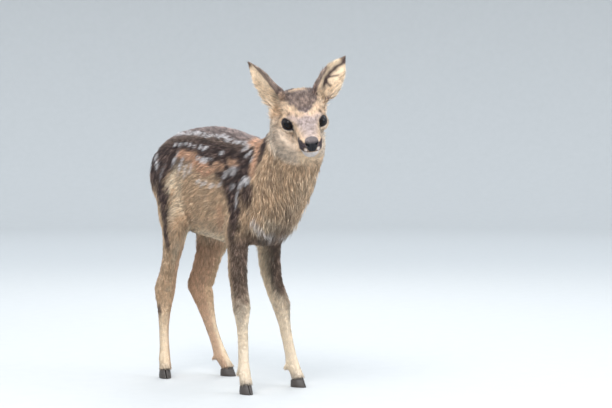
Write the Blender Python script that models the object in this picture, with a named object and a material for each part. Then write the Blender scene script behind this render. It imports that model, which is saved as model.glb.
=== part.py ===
"""A standing roe deer fawn, about a month old, at life size, in the parts that a person would name.

The fawn faces -Y, its left side is +X and it stands on Z = 0. Every surface here is the outside of the
coat. The flesh is lofted from named cross-sections, fused and smoothed into one body, and then parted
by thin cuts at the neck, the jaw, the elbows, knees, stifles, hocks and coronets.
"""

import math

import bmesh
import bpy
from mathutils import Matrix, Vector

# Driving dimensions, in metres.
GAP = 0.0003  # clearance between touching parts
VOXEL = 0.0025  # grain of the fused flesh
SMOOTHING_PASSES = 5
BODY_SMOOTHING_PASSES = 40  # further passes above the elbows and behind the head
FLESH_TRIANGLES = 4950
RING_POINTS = 28
CORONET_HEIGHT = 0.0155  # where fur ends and horn begins
CORONET_SLOPE = 0.28  # and how fast that line rises to the front
KNEE_CUT_HEIGHT = 0.128
HOCK_CUT_HEIGHT = 0.118
ELBOW_CUT_HEIGHT = 0.226

# The head's own frame: +X forward along the face, +Y to the fawn's left, +Z up; origin midway between the eyes.
EYE_MIDPOINT = Vector((-0.012, -0.231, 0.450))
HEAD_YAW = math.radians(23.5)  # turned to its right
HEAD_PITCH = math.radians(31)  # muzzle lowered
HEAD_ROLL = math.radians(7)  # left side raised

EYE_RADIUS = 0.0102
EYE_FACETS = 3  # subdivisions of the ball
EYE_PLACE = Vector((0.0022, 0.0238, 0.0010))  # left eye, in the head's frame
EAR_LENGTH_STEPS = 10
EAR_WIDTH = 0.043
EAR_WALL = 0.0034

COLOURS = {  # base colour, roughness
    "coat_brown": ((0.30, 0.21, 0.15, 1), 0.85),
    "coat_dark": ((0.16, 0.11, 0.09, 1), 0.85),
    "coat_buff": ((0.55, 0.44, 0.32, 1), 0.85),
    "coat_cream": ((0.72, 0.63, 0.52, 1), 0.85),
    "eye": ((0.012, 0.010, 0.012, 1), 0.08),
    "horn": ((0.06, 0.05, 0.05, 1), 0.45),
}


def clear_scene():
    for obj in list(bpy.data.objects):
        bpy.data.objects.remove(obj)


def material(name):
    """The named finish, made once."""
    found = bpy.data.materials.get(name)
    if found:
        return found
    made = bpy.data.materials.new(name)
    made.use_nodes = True
    colour, roughness = COLOURS[name]
    shader = made.node_tree.nodes["Principled BSDF"]
    shader.inputs["Base Color"].default_value = colour
    shader.inputs["Roughness"].default_value = roughness
    shader.inputs["Metallic"].default_value = 0.0
    made.diffuse_color = colour
    return made


def head_matrix():
    """The head's frame in the world: its columns are forward, left and up."""
    forward = Vector((-math.sin(HEAD_YAW), -math.cos(HEAD_YAW), 0))
    left = Vector((math.cos(HEAD_YAW), -math.sin(HEAD_YAW), 0))
    up = Vector((0, 0, 1))
    level = Matrix((forward, left, up)).transposed()
    pitch = Matrix.Rotation(HEAD_PITCH, 3, "Y")  # nose down
    roll = Matrix.Rotation(HEAD_ROLL, 3, "X")  # left side up
    return Matrix.Translation(EYE_MIDPOINT) @ (level @ pitch @ roll).to_4x4()


class Section:
    """One cross-section of a loft: a rounded outline about a centre, in the plane of two directions."""

    def __init__(self, centre, side, over, width, rise, drop, power=2.0, ridge=0.0):
        self.centre, self.side, self.over = Vector(centre), Vector(side), Vector(over)
        self.width, self.rise, self.drop = width, rise, drop  # half widths each way
        self.power = power  # 2 is an ellipse, more is squarer
        self.ridge = ridge  # share by which the upper half narrows to its top

    def numbers(self):
        return [*self.centre, *self.side, *self.over, self.width, self.rise, self.drop, self.power, self.ridge]

    @staticmethod
    def of_numbers(n):
        return Section(n[0:3], n[3:6], n[6:9], *n[9:14])

    def point(self, angle):
        c, s = math.cos(angle), math.sin(angle)
        across = math.copysign(abs(c) ** (2 / self.power), c) * self.width * (1 - self.ridge * max(0.0, s))
        height = math.copysign(abs(s) ** (2 / self.power), s) * (self.rise if s > 0 else self.drop)
        return self.centre + self.side * across + self.over * height


def between(sections, steps):
    """More sections on a smooth curve through the given ones."""
    rows = [s.numbers() for s in sections]
    rows = [rows[0]] + rows + [rows[-1]]
    made = []
    for i in range(1, len(rows) - 2):
        for k in range(steps):
            t = k / steps
            near = rows[i - 1 : i + 3]
            made.append([catmull_rom(t, *values) for values in zip(*near)])
    made.append(rows[-1])
    return [Section.of_numbers(n) for n in made]


def catmull_rom(t, a, b, c, d):
    return b + 0.5 * t * (c - a + t * (2 * a - 5 * b + 4 * c - d + t * (3 * (b - c) + d - a)))


def loft(bm, sections, steps=3, points=RING_POINTS):
    """Adds one closed body to bm, skinned over the sections and capped at both ends."""
    rings = []
    for section in between(sections, steps):
        made = bmesh.ops.create_circle(bm, segments=points, radius=1.0)
        for i, vert in enumerate(made["verts"]):
            vert.co = section.point(2 * math.pi * i / points)
        rings.append(made["verts"])
    for lower, upper in zip(rings, rings[1:]):
        edges = ring_edges(lower) + ring_edges(upper)
        bmesh.ops.bridge_loops(bm, edges=edges)
    for end in (rings[0], rings[-1]):
        bmesh.ops.contextual_create(bm, geom=ring_edges(end))


def ring_edges(verts):
    members = set(verts)
    found = []
    for vert in verts:
        for edge in vert.link_edges:
            if edge.other_vert(vert) in members and edge not in found:
                found.append(edge)
    return found


def tube(bm, stations, turn=0.0, steps=3, upright=0.9):
    """A limb: stations are (centre, half width across, half depth fore and aft).

    turn swings its front outward; upright draws the sections towards level, so that they never cross at a bend.
    """
    ahead = Vector((math.sin(turn), -math.cos(turn), 0))
    centres = [Vector(s[0]) for s in stations]
    sections = []
    for i, (_, across, deep) in enumerate(stations):
        run = (centres[max(i - 1, 0)] - centres[min(i + 1, len(centres) - 1)]).normalized()
        run = (run + Vector((0, 0, upright))).normalized()
        side = ahead.cross(run).normalized()
        fore = run.cross(side)
        sections.append(Section(centres[i], side, fore, across, deep, deep, 2.15))
    loft(bm, sections, steps)


# ---- Trunk, neck and head ------------------------------------------------------------------------

TRUNK = [  # along the back: Y, top, bottom, half width, squareness, narrowing to the spine
    (0.2420, 0.376, 0.338, 0.018, 2.0, 0.00),
    (0.2350, 0.397, 0.322, 0.034, 2.1, 0.00),
    (0.2170, 0.4190, 0.302, 0.0460, 2.2, 0.03),
    (0.1750, 0.4380, 0.272, 0.0530, 2.25, 0.08),
    (0.1200, 0.4460, 0.257, 0.0555, 2.2, 0.12),
    (0.0600, 0.4480, 0.250, 0.0580, 2.15, 0.12),
    (0.0100, 0.4430, 0.243, 0.0590, 2.15, 0.12),
    (-0.0400, 0.4330, 0.236, 0.0565, 2.15, 0.15),
    (-0.0820, 0.4240, 0.234, 0.0530, 2.1, 0.18),
    (-0.1120, 0.4000, 0.237, 0.0500, 2.1, 0.15),
    (-0.1360, 0.3600, 0.247, 0.0420, 2.0, 0.10),
    (-0.1530, 0.3200, 0.270, 0.0240, 2.0, 0.00),
]

NECK = [  # throat (Y, Z), nape (Y, Z), half width, sideways shift
    ((-0.144, 0.256), (-0.012, 0.400), 0.0520, 0.000),
    ((-0.172, 0.286), (-0.068, 0.418), 0.0500, 0.000),
    ((-0.198, 0.322), (-0.112, 0.431), 0.0465, 0.000),
    ((-0.222, 0.353), (-0.140, 0.452), 0.0440, -0.001),
    ((-0.240, 0.381), (-0.156, 0.477), 0.0475, -0.006),
    ((-0.246, 0.403), (-0.166, 0.492), 0.0480, -0.011),
    ((-0.226, 0.422), (-0.176, 0.488), 0.0240, -0.009),
]

HEAD = [  # in the head's frame: forward, top, bottom, half width, squareness
    (0.0710, 0.0030, -0.0140, 0.0085, 2.0),
    (0.0690, 0.0072, -0.0215, 0.0140, 2.2),
    (0.0615, 0.0105, -0.0300, 0.0177, 2.3),
    (0.0500, 0.0130, -0.0350, 0.0187, 2.25),
    (0.0360, 0.0165, -0.0360, 0.0190, 2.2),
    (0.0240, 0.0205, -0.0350, 0.0198, 2.2),
    (0.0140, 0.0245, -0.0360, 0.0222, 2.15),
    (0.0040, 0.0290, -0.0370, 0.0272, 2.15),
    (-0.0080, 0.0335, -0.0385, 0.0343, 2.2),
    (-0.0220, 0.0370, -0.0405, 0.0390, 2.2),
    (-0.0380, 0.0375, -0.0420, 0.0405, 2.15),
    (-0.0550, 0.0330, -0.0400, 0.0415, 2.1),
    (-0.0700, 0.0230, -0.0310, 0.0370, 2.0),
    (-0.0790, 0.0090, -0.0150, 0.0200, 2.0),
]


def add_trunk(bm):
    sections = []
    for y, top, bottom, width, power, ridge in TRUNK:
        half = (top - bottom) / 2
        sections.append(Section((0, y, bottom + half), (1, 0, 0), (0, 0, 1), width, half, half, power, ridge))
    loft(bm, sections)


def add_neck(bm):
    sections = []
    for throat, nape, width, shift in NECK:
        low, high = Vector((shift, *throat)), Vector((shift, *nape))
        half = (high - low) / 2
        over = half.normalized()
        sections.append(Section(low + half, (1, 0, 0), over, width, half.length, half.length, 2.1, 0.25))
    loft(bm, sections)


def add_head(bm):
    frame = head_matrix()
    turn = frame.to_3x3()
    sections = []
    for forward, top, bottom, width, power in HEAD:
        centre = frame @ Vector((forward, 0, 0))
        side, over = turn @ Vector((0, 1, 0)), turn @ Vector((0, 0, 1))
        sections.append(Section(centre, side, over, width, top, -bottom, power))
    loft(bm, sections)


# ---- Legs ----------------------------------------------------------------------------------------

# Joints as (X, Y, Z), and the turn that swings each foot outward. Each leg of a pair stands differently.
FORELEGS = {
    "left": {
        "turn": math.radians(14),
        "shoulder": (0.022, -0.082, 0.345),
        "elbow": (0.033, -0.052, 0.262),
        "forearm": (0.040, -0.050, 0.192),
        "knee": (0.051, -0.065, 0.144),
        "cannon": (0.060, -0.070, 0.088),
        "fetlock": (0.068, -0.076, 0.040),
        "coronet": (0.073, -0.087, 0.014),
    },
    "right": {
        "turn": math.radians(-8),
        "shoulder": (-0.024, -0.088, 0.345),
        "elbow": (-0.037, -0.066, 0.262),
        "forearm": (-0.043, -0.077, 0.192),
        "knee": (-0.045, -0.092, 0.144),
        "cannon": (-0.046, -0.098, 0.088),
        "fetlock": (-0.047, -0.102, 0.040),
        "coronet": (-0.048, -0.112, 0.014),
    },
}
HINDLEGS = {
    "left": {
        "turn": math.radians(24),
        "hip": (0.024, 0.176, 0.372),
        "thigh": (0.033, 0.155, 0.310),
        "stifle": (0.042, 0.134, 0.260),
        "gaskin": (0.035, 0.152, 0.204),
        "hock": (0.027, 0.163, 0.160),
        "cannon": (0.036, 0.140, 0.088),
        "fetlock": (0.045, 0.122, 0.038),
        "coronet": (0.051, 0.106, 0.014),
    },
    "right": {
        "turn": math.radians(-20),
        "hip": (-0.024, 0.176, 0.372),
        "thigh": (-0.034, 0.153, 0.310),
        "stifle": (-0.045, 0.129, 0.260),
        "gaskin": (-0.040, 0.154, 0.204),
        "hock": (-0.037, 0.179, 0.156),
        "cannon": (-0.042, 0.174, 0.090),
        "fetlock": (-0.050, 0.158, 0.038),
        "coronet": (-0.057, 0.143, 0.014),
    },
}


def mix(a, b, t):
    return Vector(a).lerp(Vector(b), t)


def foreleg_stations(j):
    """Centres and half sizes down a foreleg, with the knee's swelling and the thin cannon below it."""
    root = Vector(j["shoulder"]) + Vector((0, 0.004, 0.045))
    return [
        (root, 0.008, 0.018),
        (mix(root, j["shoulder"], 0.5), 0.020, 0.036),
        (j["shoulder"], 0.028, 0.046),
        (mix(j["shoulder"], j["elbow"], 0.55), 0.0265, 0.042),
        (j["elbow"], 0.0205, 0.0330),
        (mix(j["elbow"], j["forearm"], 0.42), 0.0170, 0.0265),
        (mix(j["elbow"], j["forearm"], 0.80), 0.0150, 0.0215),
        (mix(j["forearm"], j["knee"], 0.30), 0.0138, 0.0190),
        (mix(j["forearm"], j["knee"], 0.72), 0.0138, 0.0180),
        (j["knee"], 0.0145, 0.0175),
        (mix(j["knee"], j["cannon"], 0.30), 0.0122, 0.0150),
        (mix(j["knee"], j["cannon"], 0.62), 0.0096, 0.0120),
        (j["cannon"], 0.0088, 0.0108),
        (mix(j["cannon"], j["fetlock"], 0.65), 0.0087, 0.0106),
        (j["fetlock"], 0.0100, 0.0126),
        (mix(j["fetlock"], j["coronet"], 0.55), 0.0102, 0.0108),
        (j["coronet"], 0.0112, 0.0118),
        (mix(j["fetlock"], j["coronet"], 1.45), 0.0112, 0.0118),
    ]


def hindleg_stations(j):
    """Centres and half sizes down a hind leg: broad thigh, narrowing gaskin, the hock's point, thin cannon."""
    root = Vector(j["hip"]) + Vector((0, -0.006, 0.045))
    return [
        (root, 0.008, 0.022),
        (mix(root, j["hip"], 0.5), 0.020, 0.040),
        (j["hip"], 0.0290, 0.0520),
        (mix(j["hip"], j["thigh"], 0.50), 0.0300, 0.0610),
        (j["thigh"], 0.0275, 0.0580),
        (mix(j["thigh"], j["stifle"], 0.55), 0.0245, 0.0510),
        (j["stifle"], 0.0215, 0.0435),
        (mix(j["stifle"], j["gaskin"], 0.45), 0.0178, 0.0330),
        (mix(j["stifle"], j["gaskin"], 0.85), 0.0152, 0.0275),
        (mix(j["gaskin"], j["hock"], 0.35), 0.0145, 0.0262),
        (mix(j["gaskin"], j["hock"], 0.75), 0.0168, 0.0262),
        (j["hock"], 0.0180, 0.0242),
        (mix(j["hock"], j["cannon"], 0.22), 0.0165, 0.0210),
        (mix(j["hock"], j["cannon"], 0.52), 0.0127, 0.0165),
        (j["cannon"], 0.0090, 0.0120),
        (mix(j["cannon"], j["fetlock"], 0.60), 0.0086, 0.0112),
        (j["fetlock"], 0.0100, 0.0127),
        (mix(j["fetlock"], j["coronet"], 0.55), 0.0102, 0.0108),
        (j["coronet"], 0.0112, 0.0118),
        (mix(j["fetlock"], j["coronet"], 1.45), 0.0112, 0.0118),
    ]


def add_dewclaws(bm, joints):
    """The two small claws behind each fetlock, joined to the leg they grow from."""
    place = Matrix.Translation(joints["fetlock"]) @ Matrix.Rotation(joints["turn"], 4, "Z")
    for side in (-1, 1):
        base = place @ Vector((side * 0.0050, 0.0080, -0.0020))
        tip = place @ Vector((side * 0.0064, 0.0150, -0.0120))
        stations = [(base, 0.0040, 0.0042), (mix(base, tip, 0.6), 0.0036, 0.0036), (tip, 0.0022, 0.0022)]
        tube(bm, stations, steps=2, upright=0.0)


# ---- Fusing and parting --------------------------------------------------------------------------


def object_of(bm, name, finish):
    bmesh.ops.recalc_face_normals(bm, faces=bm.faces)
    mesh = bpy.data.meshes.new(name)
    bm.to_mesh(mesh)
    bm.free()
    obj = bpy.data.objects.new(name, mesh)
    obj.data.materials.append(material(finish))
    bpy.context.scene.collection.objects.link(obj)
    return obj


def bake_modifiers(obj):
    """Replaces the object's mesh with what its modifiers make of it."""
    graph = bpy.context.evaluated_depsgraph_get()
    made = bpy.data.meshes.new_from_object(obj.evaluated_get(graph))
    obj.modifiers.clear()
    obj.data = made


def boolean(obj, other, operation):
    modifier = obj.modifiers.new(operation.title(), "BOOLEAN")
    modifier.operation = operation
    modifier.solver = "EXACT"
    modifier.object = other
    bake_modifiers(obj)


def triangle_count(obj):
    obj.data.calc_loop_triangles()
    return len(obj.data.loop_triangles)


def fused_flesh():
    bm = bmesh.new()
    add_trunk(bm)
    add_neck(bm)
    add_head(bm)
    for joints in FORELEGS.values():
        tube(bm, foreleg_stations(joints), joints["turn"])
        add_dewclaws(bm, joints)
    for joints in HINDLEGS.values():
        tube(bm, hindleg_stations(joints), joints["turn"])
        add_dewclaws(bm, joints)
    flesh = object_of(bm, "flesh", "coat_brown")
    remesh = flesh.modifiers.new("Fuse", "REMESH")
    remesh.mode = "VOXEL"
    remesh.voxel_size = VOXEL
    smooth = flesh.modifiers.new("Smooth", "SMOOTH")
    smooth.factor = 0.5
    smooth.iterations = SMOOTHING_PASSES
    bake_modifiers(flesh)
    smooth_body(flesh)
    thin = flesh.modifiers.new("Thin", "DECIMATE")
    thin.ratio = FLESH_TRIANGLES / triangle_count(flesh)
    bake_modifiers(flesh)
    return flesh


def smooth_body(flesh):
    """Softens where legs and neck join the trunk, and leaves head and lower legs as they are."""
    group = flesh.vertex_groups.new(name="body")
    head = head_matrix() @ Vector((-0.02, 0, 0))
    for vert in flesh.data.vertices:
        above = min(1.0, max(0.0, (vert.co.z - 0.205) / 0.05))
        away = min(1.0, max(0.0, ((vert.co - head).length - 0.055) / 0.03))
        group.add([vert.index], above * away, "REPLACE")
    soften = flesh.modifiers.new("Soften", "SMOOTH")
    soften.factor = 0.5
    soften.iterations = BODY_SMOOTHING_PASSES
    soften.vertex_group = "body"
    bake_modifiers(flesh)
    flesh.vertex_groups.clear()


def slab(bm, centre, normal, reach):
    """A thin disc that parts whatever it crosses."""
    turn = Vector(normal).normalized().to_track_quat("Z", "Y").to_matrix().to_4x4()
    place = Matrix.Translation(centre) @ turn
    bmesh.ops.create_cone(
        bm, cap_ends=True, segments=24, radius1=reach, radius2=reach, depth=GAP, matrix=place
    )


def cutters():
    """Every cut between named parts, as one set of thin discs."""
    bm = bmesh.new()
    slab(bm, (0, -0.104, 0.358), (0, -0.900, 0.436), 0.115)  # neck from trunk
    slab(bm, (-0.008, -0.196, 0.440), (-0.08, -0.74, 0.67), 0.074)  # head from neck
    for side in ("left", "right"):
        fore, hind = FORELEGS[side], HINDLEGS[side]
        slab(bm, at_height(fore, ELBOW_CUT_HEIGHT), (0, 0, 1), 0.045)
        slab(bm, at_height(fore, KNEE_CUT_HEIGHT), (0, 0, 1), 0.030)
        slab(bm, at_height(hind, ELBOW_CUT_HEIGHT), (0, 0, 1), 0.050)
        slab(bm, at_height(hind, HOCK_CUT_HEIGHT), (0, 0, 1), 0.036)
        for joints in (fore, hind):
            ahead = Vector((math.sin(joints["turn"]), -math.cos(joints["turn"]), 0))
            middle_of_foot = Vector((*joints["coronet"][:2], CORONET_HEIGHT))
            slab(bm, middle_of_foot, Vector((0, 0, 1)) - ahead * CORONET_SLOPE, 0.024)
    return object_of(bm, "cutters", "coat_brown")


def at_height(joints, height):
    """The point on a leg's line at this height."""
    points = [Vector(p) for name, p in joints.items() if name != "turn"]
    for upper, lower in zip(points, points[1:]):
        if upper.z >= height >= lower.z:
            return upper.lerp(lower, (upper.z - height) / (upper.z - lower.z))
    return points[-1]


def islands(obj):
    """The separate bodies of a mesh, each as an object, with the one they came from removed."""
    bm = bmesh.new()
    bm.from_mesh(obj.data)
    bm.faces.ensure_lookup_table()
    left, made = set(bm.faces), []
    while left:
        grown, edge_of_growth = set(), [left.pop()]
        while edge_of_growth:
            face = edge_of_growth.pop()
            grown.add(face)
            for edge in face.edges:
                for other in edge.link_faces:
                    if other in left:
                        left.remove(other)
                        edge_of_growth.append(other)
        made.append(sorted(face.index for face in grown))
    objects = []
    for number, faces in enumerate(sorted(made, key=len, reverse=True)):
        part = bm.copy()
        part.faces.ensure_lookup_table()
        keep = set(faces)
        spare = [face for face in part.faces if face.index not in keep]
        bmesh.ops.delete(part, geom=spare, context="FACES")
        objects.append(object_of(part, f"body_{number}", "coat_brown"))
    bm.free()
    bpy.data.objects.remove(obj)
    return objects


def middle(obj):
    corners = [Vector(c) for c in obj.bound_box]
    return sum(corners, Vector()) / len(corners)


def lowest(obj):
    return min(Vector(c).z for c in obj.bound_box)


def name_flesh(parts):
    """Names each parted body by where it lies, and drops what the coronet cuts left below."""
    eye_mid = EYE_MIDPOINT
    for part in parts:
        centre = middle(part)
        if centre.z < CORONET_HEIGHT:
            bpy.data.objects.remove(part)
            continue
        side = "left" if centre.x > 0 else "right"
        pair = "foreleg" if centre.y < 0.03 else "hindleg"
        if (centre - eye_mid).length < 0.05:
            name, finish = "head", "coat_buff"
        elif lowest(part) < CORONET_HEIGHT + 0.01:
            name, finish = f"{pair}_{side}_lower", "coat_cream"
        elif centre.z < ELBOW_CUT_HEIGHT:
            name, finish = f"{pair}_{side}_upper", "coat_buff"
        elif centre.y < -0.09:
            name, finish = "neck", "coat_buff"
        else:
            name, finish = "trunk", "coat_dark"
        part.name = name
        part.data.materials.clear()
        part.data.materials.append(material(finish))


# ---- Ears, eyes, tail and claws --------------------------------------------------------------------

# Ear root and tip in the head's frame, and the way the ear's hollow faces.
EARS = {
    "left": {"root": (-0.048, 0.027, 0.017), "tip": (-0.083, 0.081, 0.066), "faces": (0.915, 0.06, 0.39)},
    "right": {"root": (-0.053, -0.022, 0.017), "tip": (-0.108, -0.074, 0.060), "faces": (0.30, -0.90, 0.25)},
}


def ear_half_width(t):
    """The ear's leaf outline: a narrow stalk, broadest below the middle, drawn to a blunt tip."""
    stalk = 0.72 + 0.28 * math.sin(min(1.0, t / 0.38) * math.pi / 2)
    taper = (1 - (max(0.0, t - 0.38) / 0.625) ** 1.75) ** 0.82
    return EAR_WIDTH / 2 * stalk * taper


def ear(side):
    """One ear: a cupped leaf, rolled almost shut at its root, with a real thickness."""
    spec = EARS[side]
    frame = head_matrix()
    root, tip = frame @ Vector(spec["root"]), frame @ Vector(spec["tip"])
    run = tip - root
    along = run.normalized()
    facing = frame.to_3x3() @ Vector(spec["faces"])
    facing = (facing - along * facing.dot(along)).normalized()
    across = along.cross(facing)
    points = 11
    bm = bmesh.new()
    rings = []
    for step in range(EAR_LENGTH_STEPS + 1):
        t = step / EAR_LENGTH_STEPS
        half = max(ear_half_width(t), 0.0024)
        roll = math.radians(135 - 72 * min(1.0, t / 0.50) - 18 * t)  # half the arc that the ear wraps
        radius = half / math.sin(min(roll, math.pi / 2))
        wall = min(EAR_WALL * (1.15 - 0.45 * t), half * 0.8)
        bow = 0.003 * math.sin(math.pi * t)  # hollow along its back
        centre = root + run * t + facing * (radius * 0.9 + bow)
        arc = [roll * (2 * k / (points - 1) - 1) for k in range(points)]
        ring = []
        for reach, angles in ((radius, arc), (radius - wall, arc[::-1])):
            for angle in angles:
                spot = across * (reach * math.sin(angle)) - facing * (reach * math.cos(angle))
                ring.append(bm.verts.new(centre + spot))
        rings.append(ring)
    close_rings(bm, rings)
    return object_of(bm, f"ear_{side}", "coat_brown")


def close_rings(bm, rings):
    """Skins rings of equal length, and closes both ends."""
    count = len(rings[0])
    for lower, upper in zip(rings, rings[1:]):
        for i in range(count):
            bm.faces.new((lower[i], lower[(i + 1) % count], upper[(i + 1) % count], upper[i]))
    bm.faces.new(rings[0])
    bm.faces.new(rings[-1][::-1])


def grown(obj):
    """A copy of a body, larger all round by the gap, to cut its neighbours with."""
    copy = obj.copy()
    copy.data = obj.data.copy()
    bpy.context.scene.collection.objects.link(copy)
    swell = copy.modifiers.new("Swell", "DISPLACE")
    swell.strength = GAP
    swell.mid_level = 0.0
    bake_modifiers(copy)
    return copy


def keep_largest(obj):
    """Drops any stray body that a cut left inside its neighbour."""
    name, finish = obj.name, obj.data.materials[0].name
    parts = islands(obj)
    for spare in parts[1:]:
        bpy.data.objects.remove(spare)
    parts[0].name = name
    parts[0].data.materials.clear()
    parts[0].data.materials.append(material(finish))
    return parts[0]


def eyes_and_sockets():
    """Makes both eyeballs, and returns a slightly larger cutter for each one's socket."""
    frame = head_matrix()
    sockets = []
    for side, sign in (("left", 1), ("right", -1)):
        centre = frame @ Vector((EYE_PLACE.x, sign * EYE_PLACE.y, EYE_PLACE.z))
        ball(f"eye_{side}", centre, EYE_RADIUS)
        sockets.append(ball(f"socket_{side}", centre, EYE_RADIUS + GAP))
    return sockets


def ball(name, centre, radius):
    bm = bmesh.new()
    bmesh.ops.create_icosphere(bm, subdivisions=EYE_FACETS, radius=radius, matrix=Matrix.Translation(centre))
    return object_of(bm, name, "eye")


def tail():
    bm = bmesh.new()
    place = Matrix.Translation((0, 0.2385, 0.366)) @ Matrix.Rotation(math.radians(28), 4, "X")
    bmesh.ops.create_icosphere(
        bm, subdivisions=2, radius=1.0, matrix=place @ Matrix.Diagonal((0.0105, 0.0110, 0.0210, 1))
    )
    return object_of(bm, "tail", "coat_buff")


def claw(name, joints, sign):
    """One half of a cloven hoof: flat sole, straight inside, rounded outside, drawn to a toe in front."""
    place = Matrix.Translation((*joints["coronet"][:2], 0)) @ Matrix.Rotation(joints["turn"], 4, "Z")
    heel, toe, width, inner = 0.0118, -0.0165, 0.0102, 0.0006
    outer_points = 8
    bm = bmesh.new()
    rings = []
    for rise, swell in ((0.0, 0.96), (0.35, 1.0), (1.0, 0.88)):
        ring = [(inner, heel * 0.9), (inner, toe + 0.0006)]
        for k in range(outer_points + 1):
            t = k / outer_points  # from toe to heel
            bulge = math.sin(math.pi / 2 * min(1.0, t / 0.62)) ** 0.8 * (1 - 0.35 * max(0.0, t - 0.75) / 0.25)
            ring.append((inner + 0.0012 + (width - 0.0012) * bulge * swell, toe + (heel - toe) * t))
        verts = []
        for x, y in ring:
            back = rise * 0.0042 * (heel - y) / (heel - toe)  # the wall slopes back from the toe
            point = place @ Vector((sign * x, y + back, 0))
            point.z = rise * (coronet_level(joints, point) - 1.5 * GAP)
            verts.append(bm.verts.new(point))
        rings.append(verts)
    close_rings(bm, rings)
    return object_of(bm, name, "horn")


def coronet_level(joints, point):
    """The height at which horn begins: a plane that rises to the front of each foot."""
    ahead = Vector((math.sin(joints["turn"]), -math.cos(joints["turn"]), 0))
    return CORONET_HEIGHT + CORONET_SLOPE * ahead.dot(point - Vector(joints["coronet"]))


def claws():
    for pair, legs in (("fore", FORELEGS), ("hind", HINDLEGS)):
        for side, joints in legs.items():
            outward = 1 if side == "left" else -1
            for which, sign in (("outer", outward), ("inner", -outward)):
                claw(f"claw_{pair}_{side}_{which}", joints, sign)


def stand_on_origin():
    """Moves every part so that the whole stands on Z = 0 with its footprint's box centred on the origin."""
    bpy.context.view_layer.update()
    corners = [o.matrix_world @ Vector(c) for o in bpy.context.scene.objects for c in o.bound_box]
    low = [min(c[i] for c in corners) for i in range(3)]
    high = [max(c[i] for c in corners) for i in range(3)]
    shift = Vector((-(low[0] + high[0]) / 2, -(low[1] + high[1]) / 2, -low[2]))
    for obj in bpy.context.scene.objects:
        obj.data.transform(Matrix.Translation(shift))
        obj.data.shade_smooth()


def main():
    clear_scene()
    flesh = fused_flesh()
    for socket in eyes_and_sockets():
        boolean(flesh, socket, "DIFFERENCE")
        bpy.data.objects.remove(socket)
    whole = grown(flesh)
    for piece in (ear("left"), ear("right"), tail()):
        boolean(piece, whole, "DIFFERENCE")
        keep_largest(piece)
    bpy.data.objects.remove(whole)
    discs = cutters()
    boolean(flesh, discs, "DIFFERENCE")
    bpy.data.objects.remove(discs)
    name_flesh(islands(flesh))
    claws()
    stand_on_origin()


main()
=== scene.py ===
import math

import bmesh
import bpy
import numpy as np
from mathutils import Matrix, Vector
from mathutils.bvhtree import BVHTree
from mathutils.kdtree import KDTree


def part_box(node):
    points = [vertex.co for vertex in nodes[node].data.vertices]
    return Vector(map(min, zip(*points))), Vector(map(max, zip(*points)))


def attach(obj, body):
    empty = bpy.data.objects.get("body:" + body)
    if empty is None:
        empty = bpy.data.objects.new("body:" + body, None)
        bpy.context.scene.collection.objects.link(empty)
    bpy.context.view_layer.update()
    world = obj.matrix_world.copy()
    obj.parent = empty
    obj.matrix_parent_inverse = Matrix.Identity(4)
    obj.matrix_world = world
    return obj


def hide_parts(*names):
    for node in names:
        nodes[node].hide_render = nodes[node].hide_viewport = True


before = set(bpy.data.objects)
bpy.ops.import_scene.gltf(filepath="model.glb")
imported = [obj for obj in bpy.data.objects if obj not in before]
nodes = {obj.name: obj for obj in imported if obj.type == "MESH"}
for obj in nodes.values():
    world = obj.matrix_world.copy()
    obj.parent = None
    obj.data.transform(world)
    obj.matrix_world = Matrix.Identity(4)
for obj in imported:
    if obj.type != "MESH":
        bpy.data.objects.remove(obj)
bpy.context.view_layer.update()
mm = 0.001
hands = {"left": 1, "right": -1}  # the sign of each side along +X
chance = np.random.default_rng(11)
lumps = np.random.default_rng(5).random((24, 24, 24))


# Small sums used all over

def smooth(low, high, value):  # 0 below low, 1 above high, and soft in between
    t = np.clip((value - low) / (high - low), 0, 1)
    return t * t * (3 - 2 * t)


def unit(rows):
    return rows / np.maximum(np.linalg.norm(rows, axis=-1, keepdims=True), 1e-9)


def hill(away, width):  # 1 at no distance, and soft to nothing
    return np.exp(-((away / width) ** 2))


def cloud(places, size):  # soft noise from 0 to 1, its lumps about this size in metres
    cell = np.floor(places / size + 200).astype(int)
    t = places / size + 200 - cell
    t = t * t * (3 - 2 * t)
    total = np.zeros(len(places))
    for corner in np.ndindex(2, 2, 2):
        share = np.prod(np.where(np.array(corner) == 1, t, 1 - t), axis=1)
        near = (cell + corner) % len(lumps)
        total += share * lumps[near[:, 0], near[:, 1], near[:, 2]]
    return total


def middleOf(node):
    low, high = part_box(node)
    return (low + high) / 2


def placesOf(mesh, what="co"):
    found = np.empty(len(mesh.vertices) * 3)
    mesh.vertices.foreach_get(what, found)
    return found.reshape(-1, 3)


def normalsOf(mesh):
    return placesOf(mesh, "normal")


def show(name, data):  # a new object in the scene that holds this data
    made = bpy.data.objects.new(name, data)
    bpy.context.scene.collection.objects.link(made)
    return made


# The body's and the head's own directions, from the frame

tailMiddle, (trunkLow, trunkHigh) = middleOf("tail"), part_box("trunk")
body = {
    "middle": tailMiddle.x,
    "halfWidth": 0.13 * trunkHigh.z,
    "front": trunkLow.y,
    "length": trunkHigh.y - trunkLow.y,
    "top": trunkHigh.z,
}


def onBody(side, back, height):  # side -1 is its right; back and height run from 0 to 1
    x = body["middle"] + side * body["halfWidth"]
    return np.array((x, body["front"] + back * body["length"], height * body["top"]))


def bodyPlaces(places):
    side = (places[:, 0] - body["middle"]) / body["halfWidth"]
    return side, (places[:, 1] - body["front"]) / body["length"], places[:, 2] / body["top"]


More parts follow.
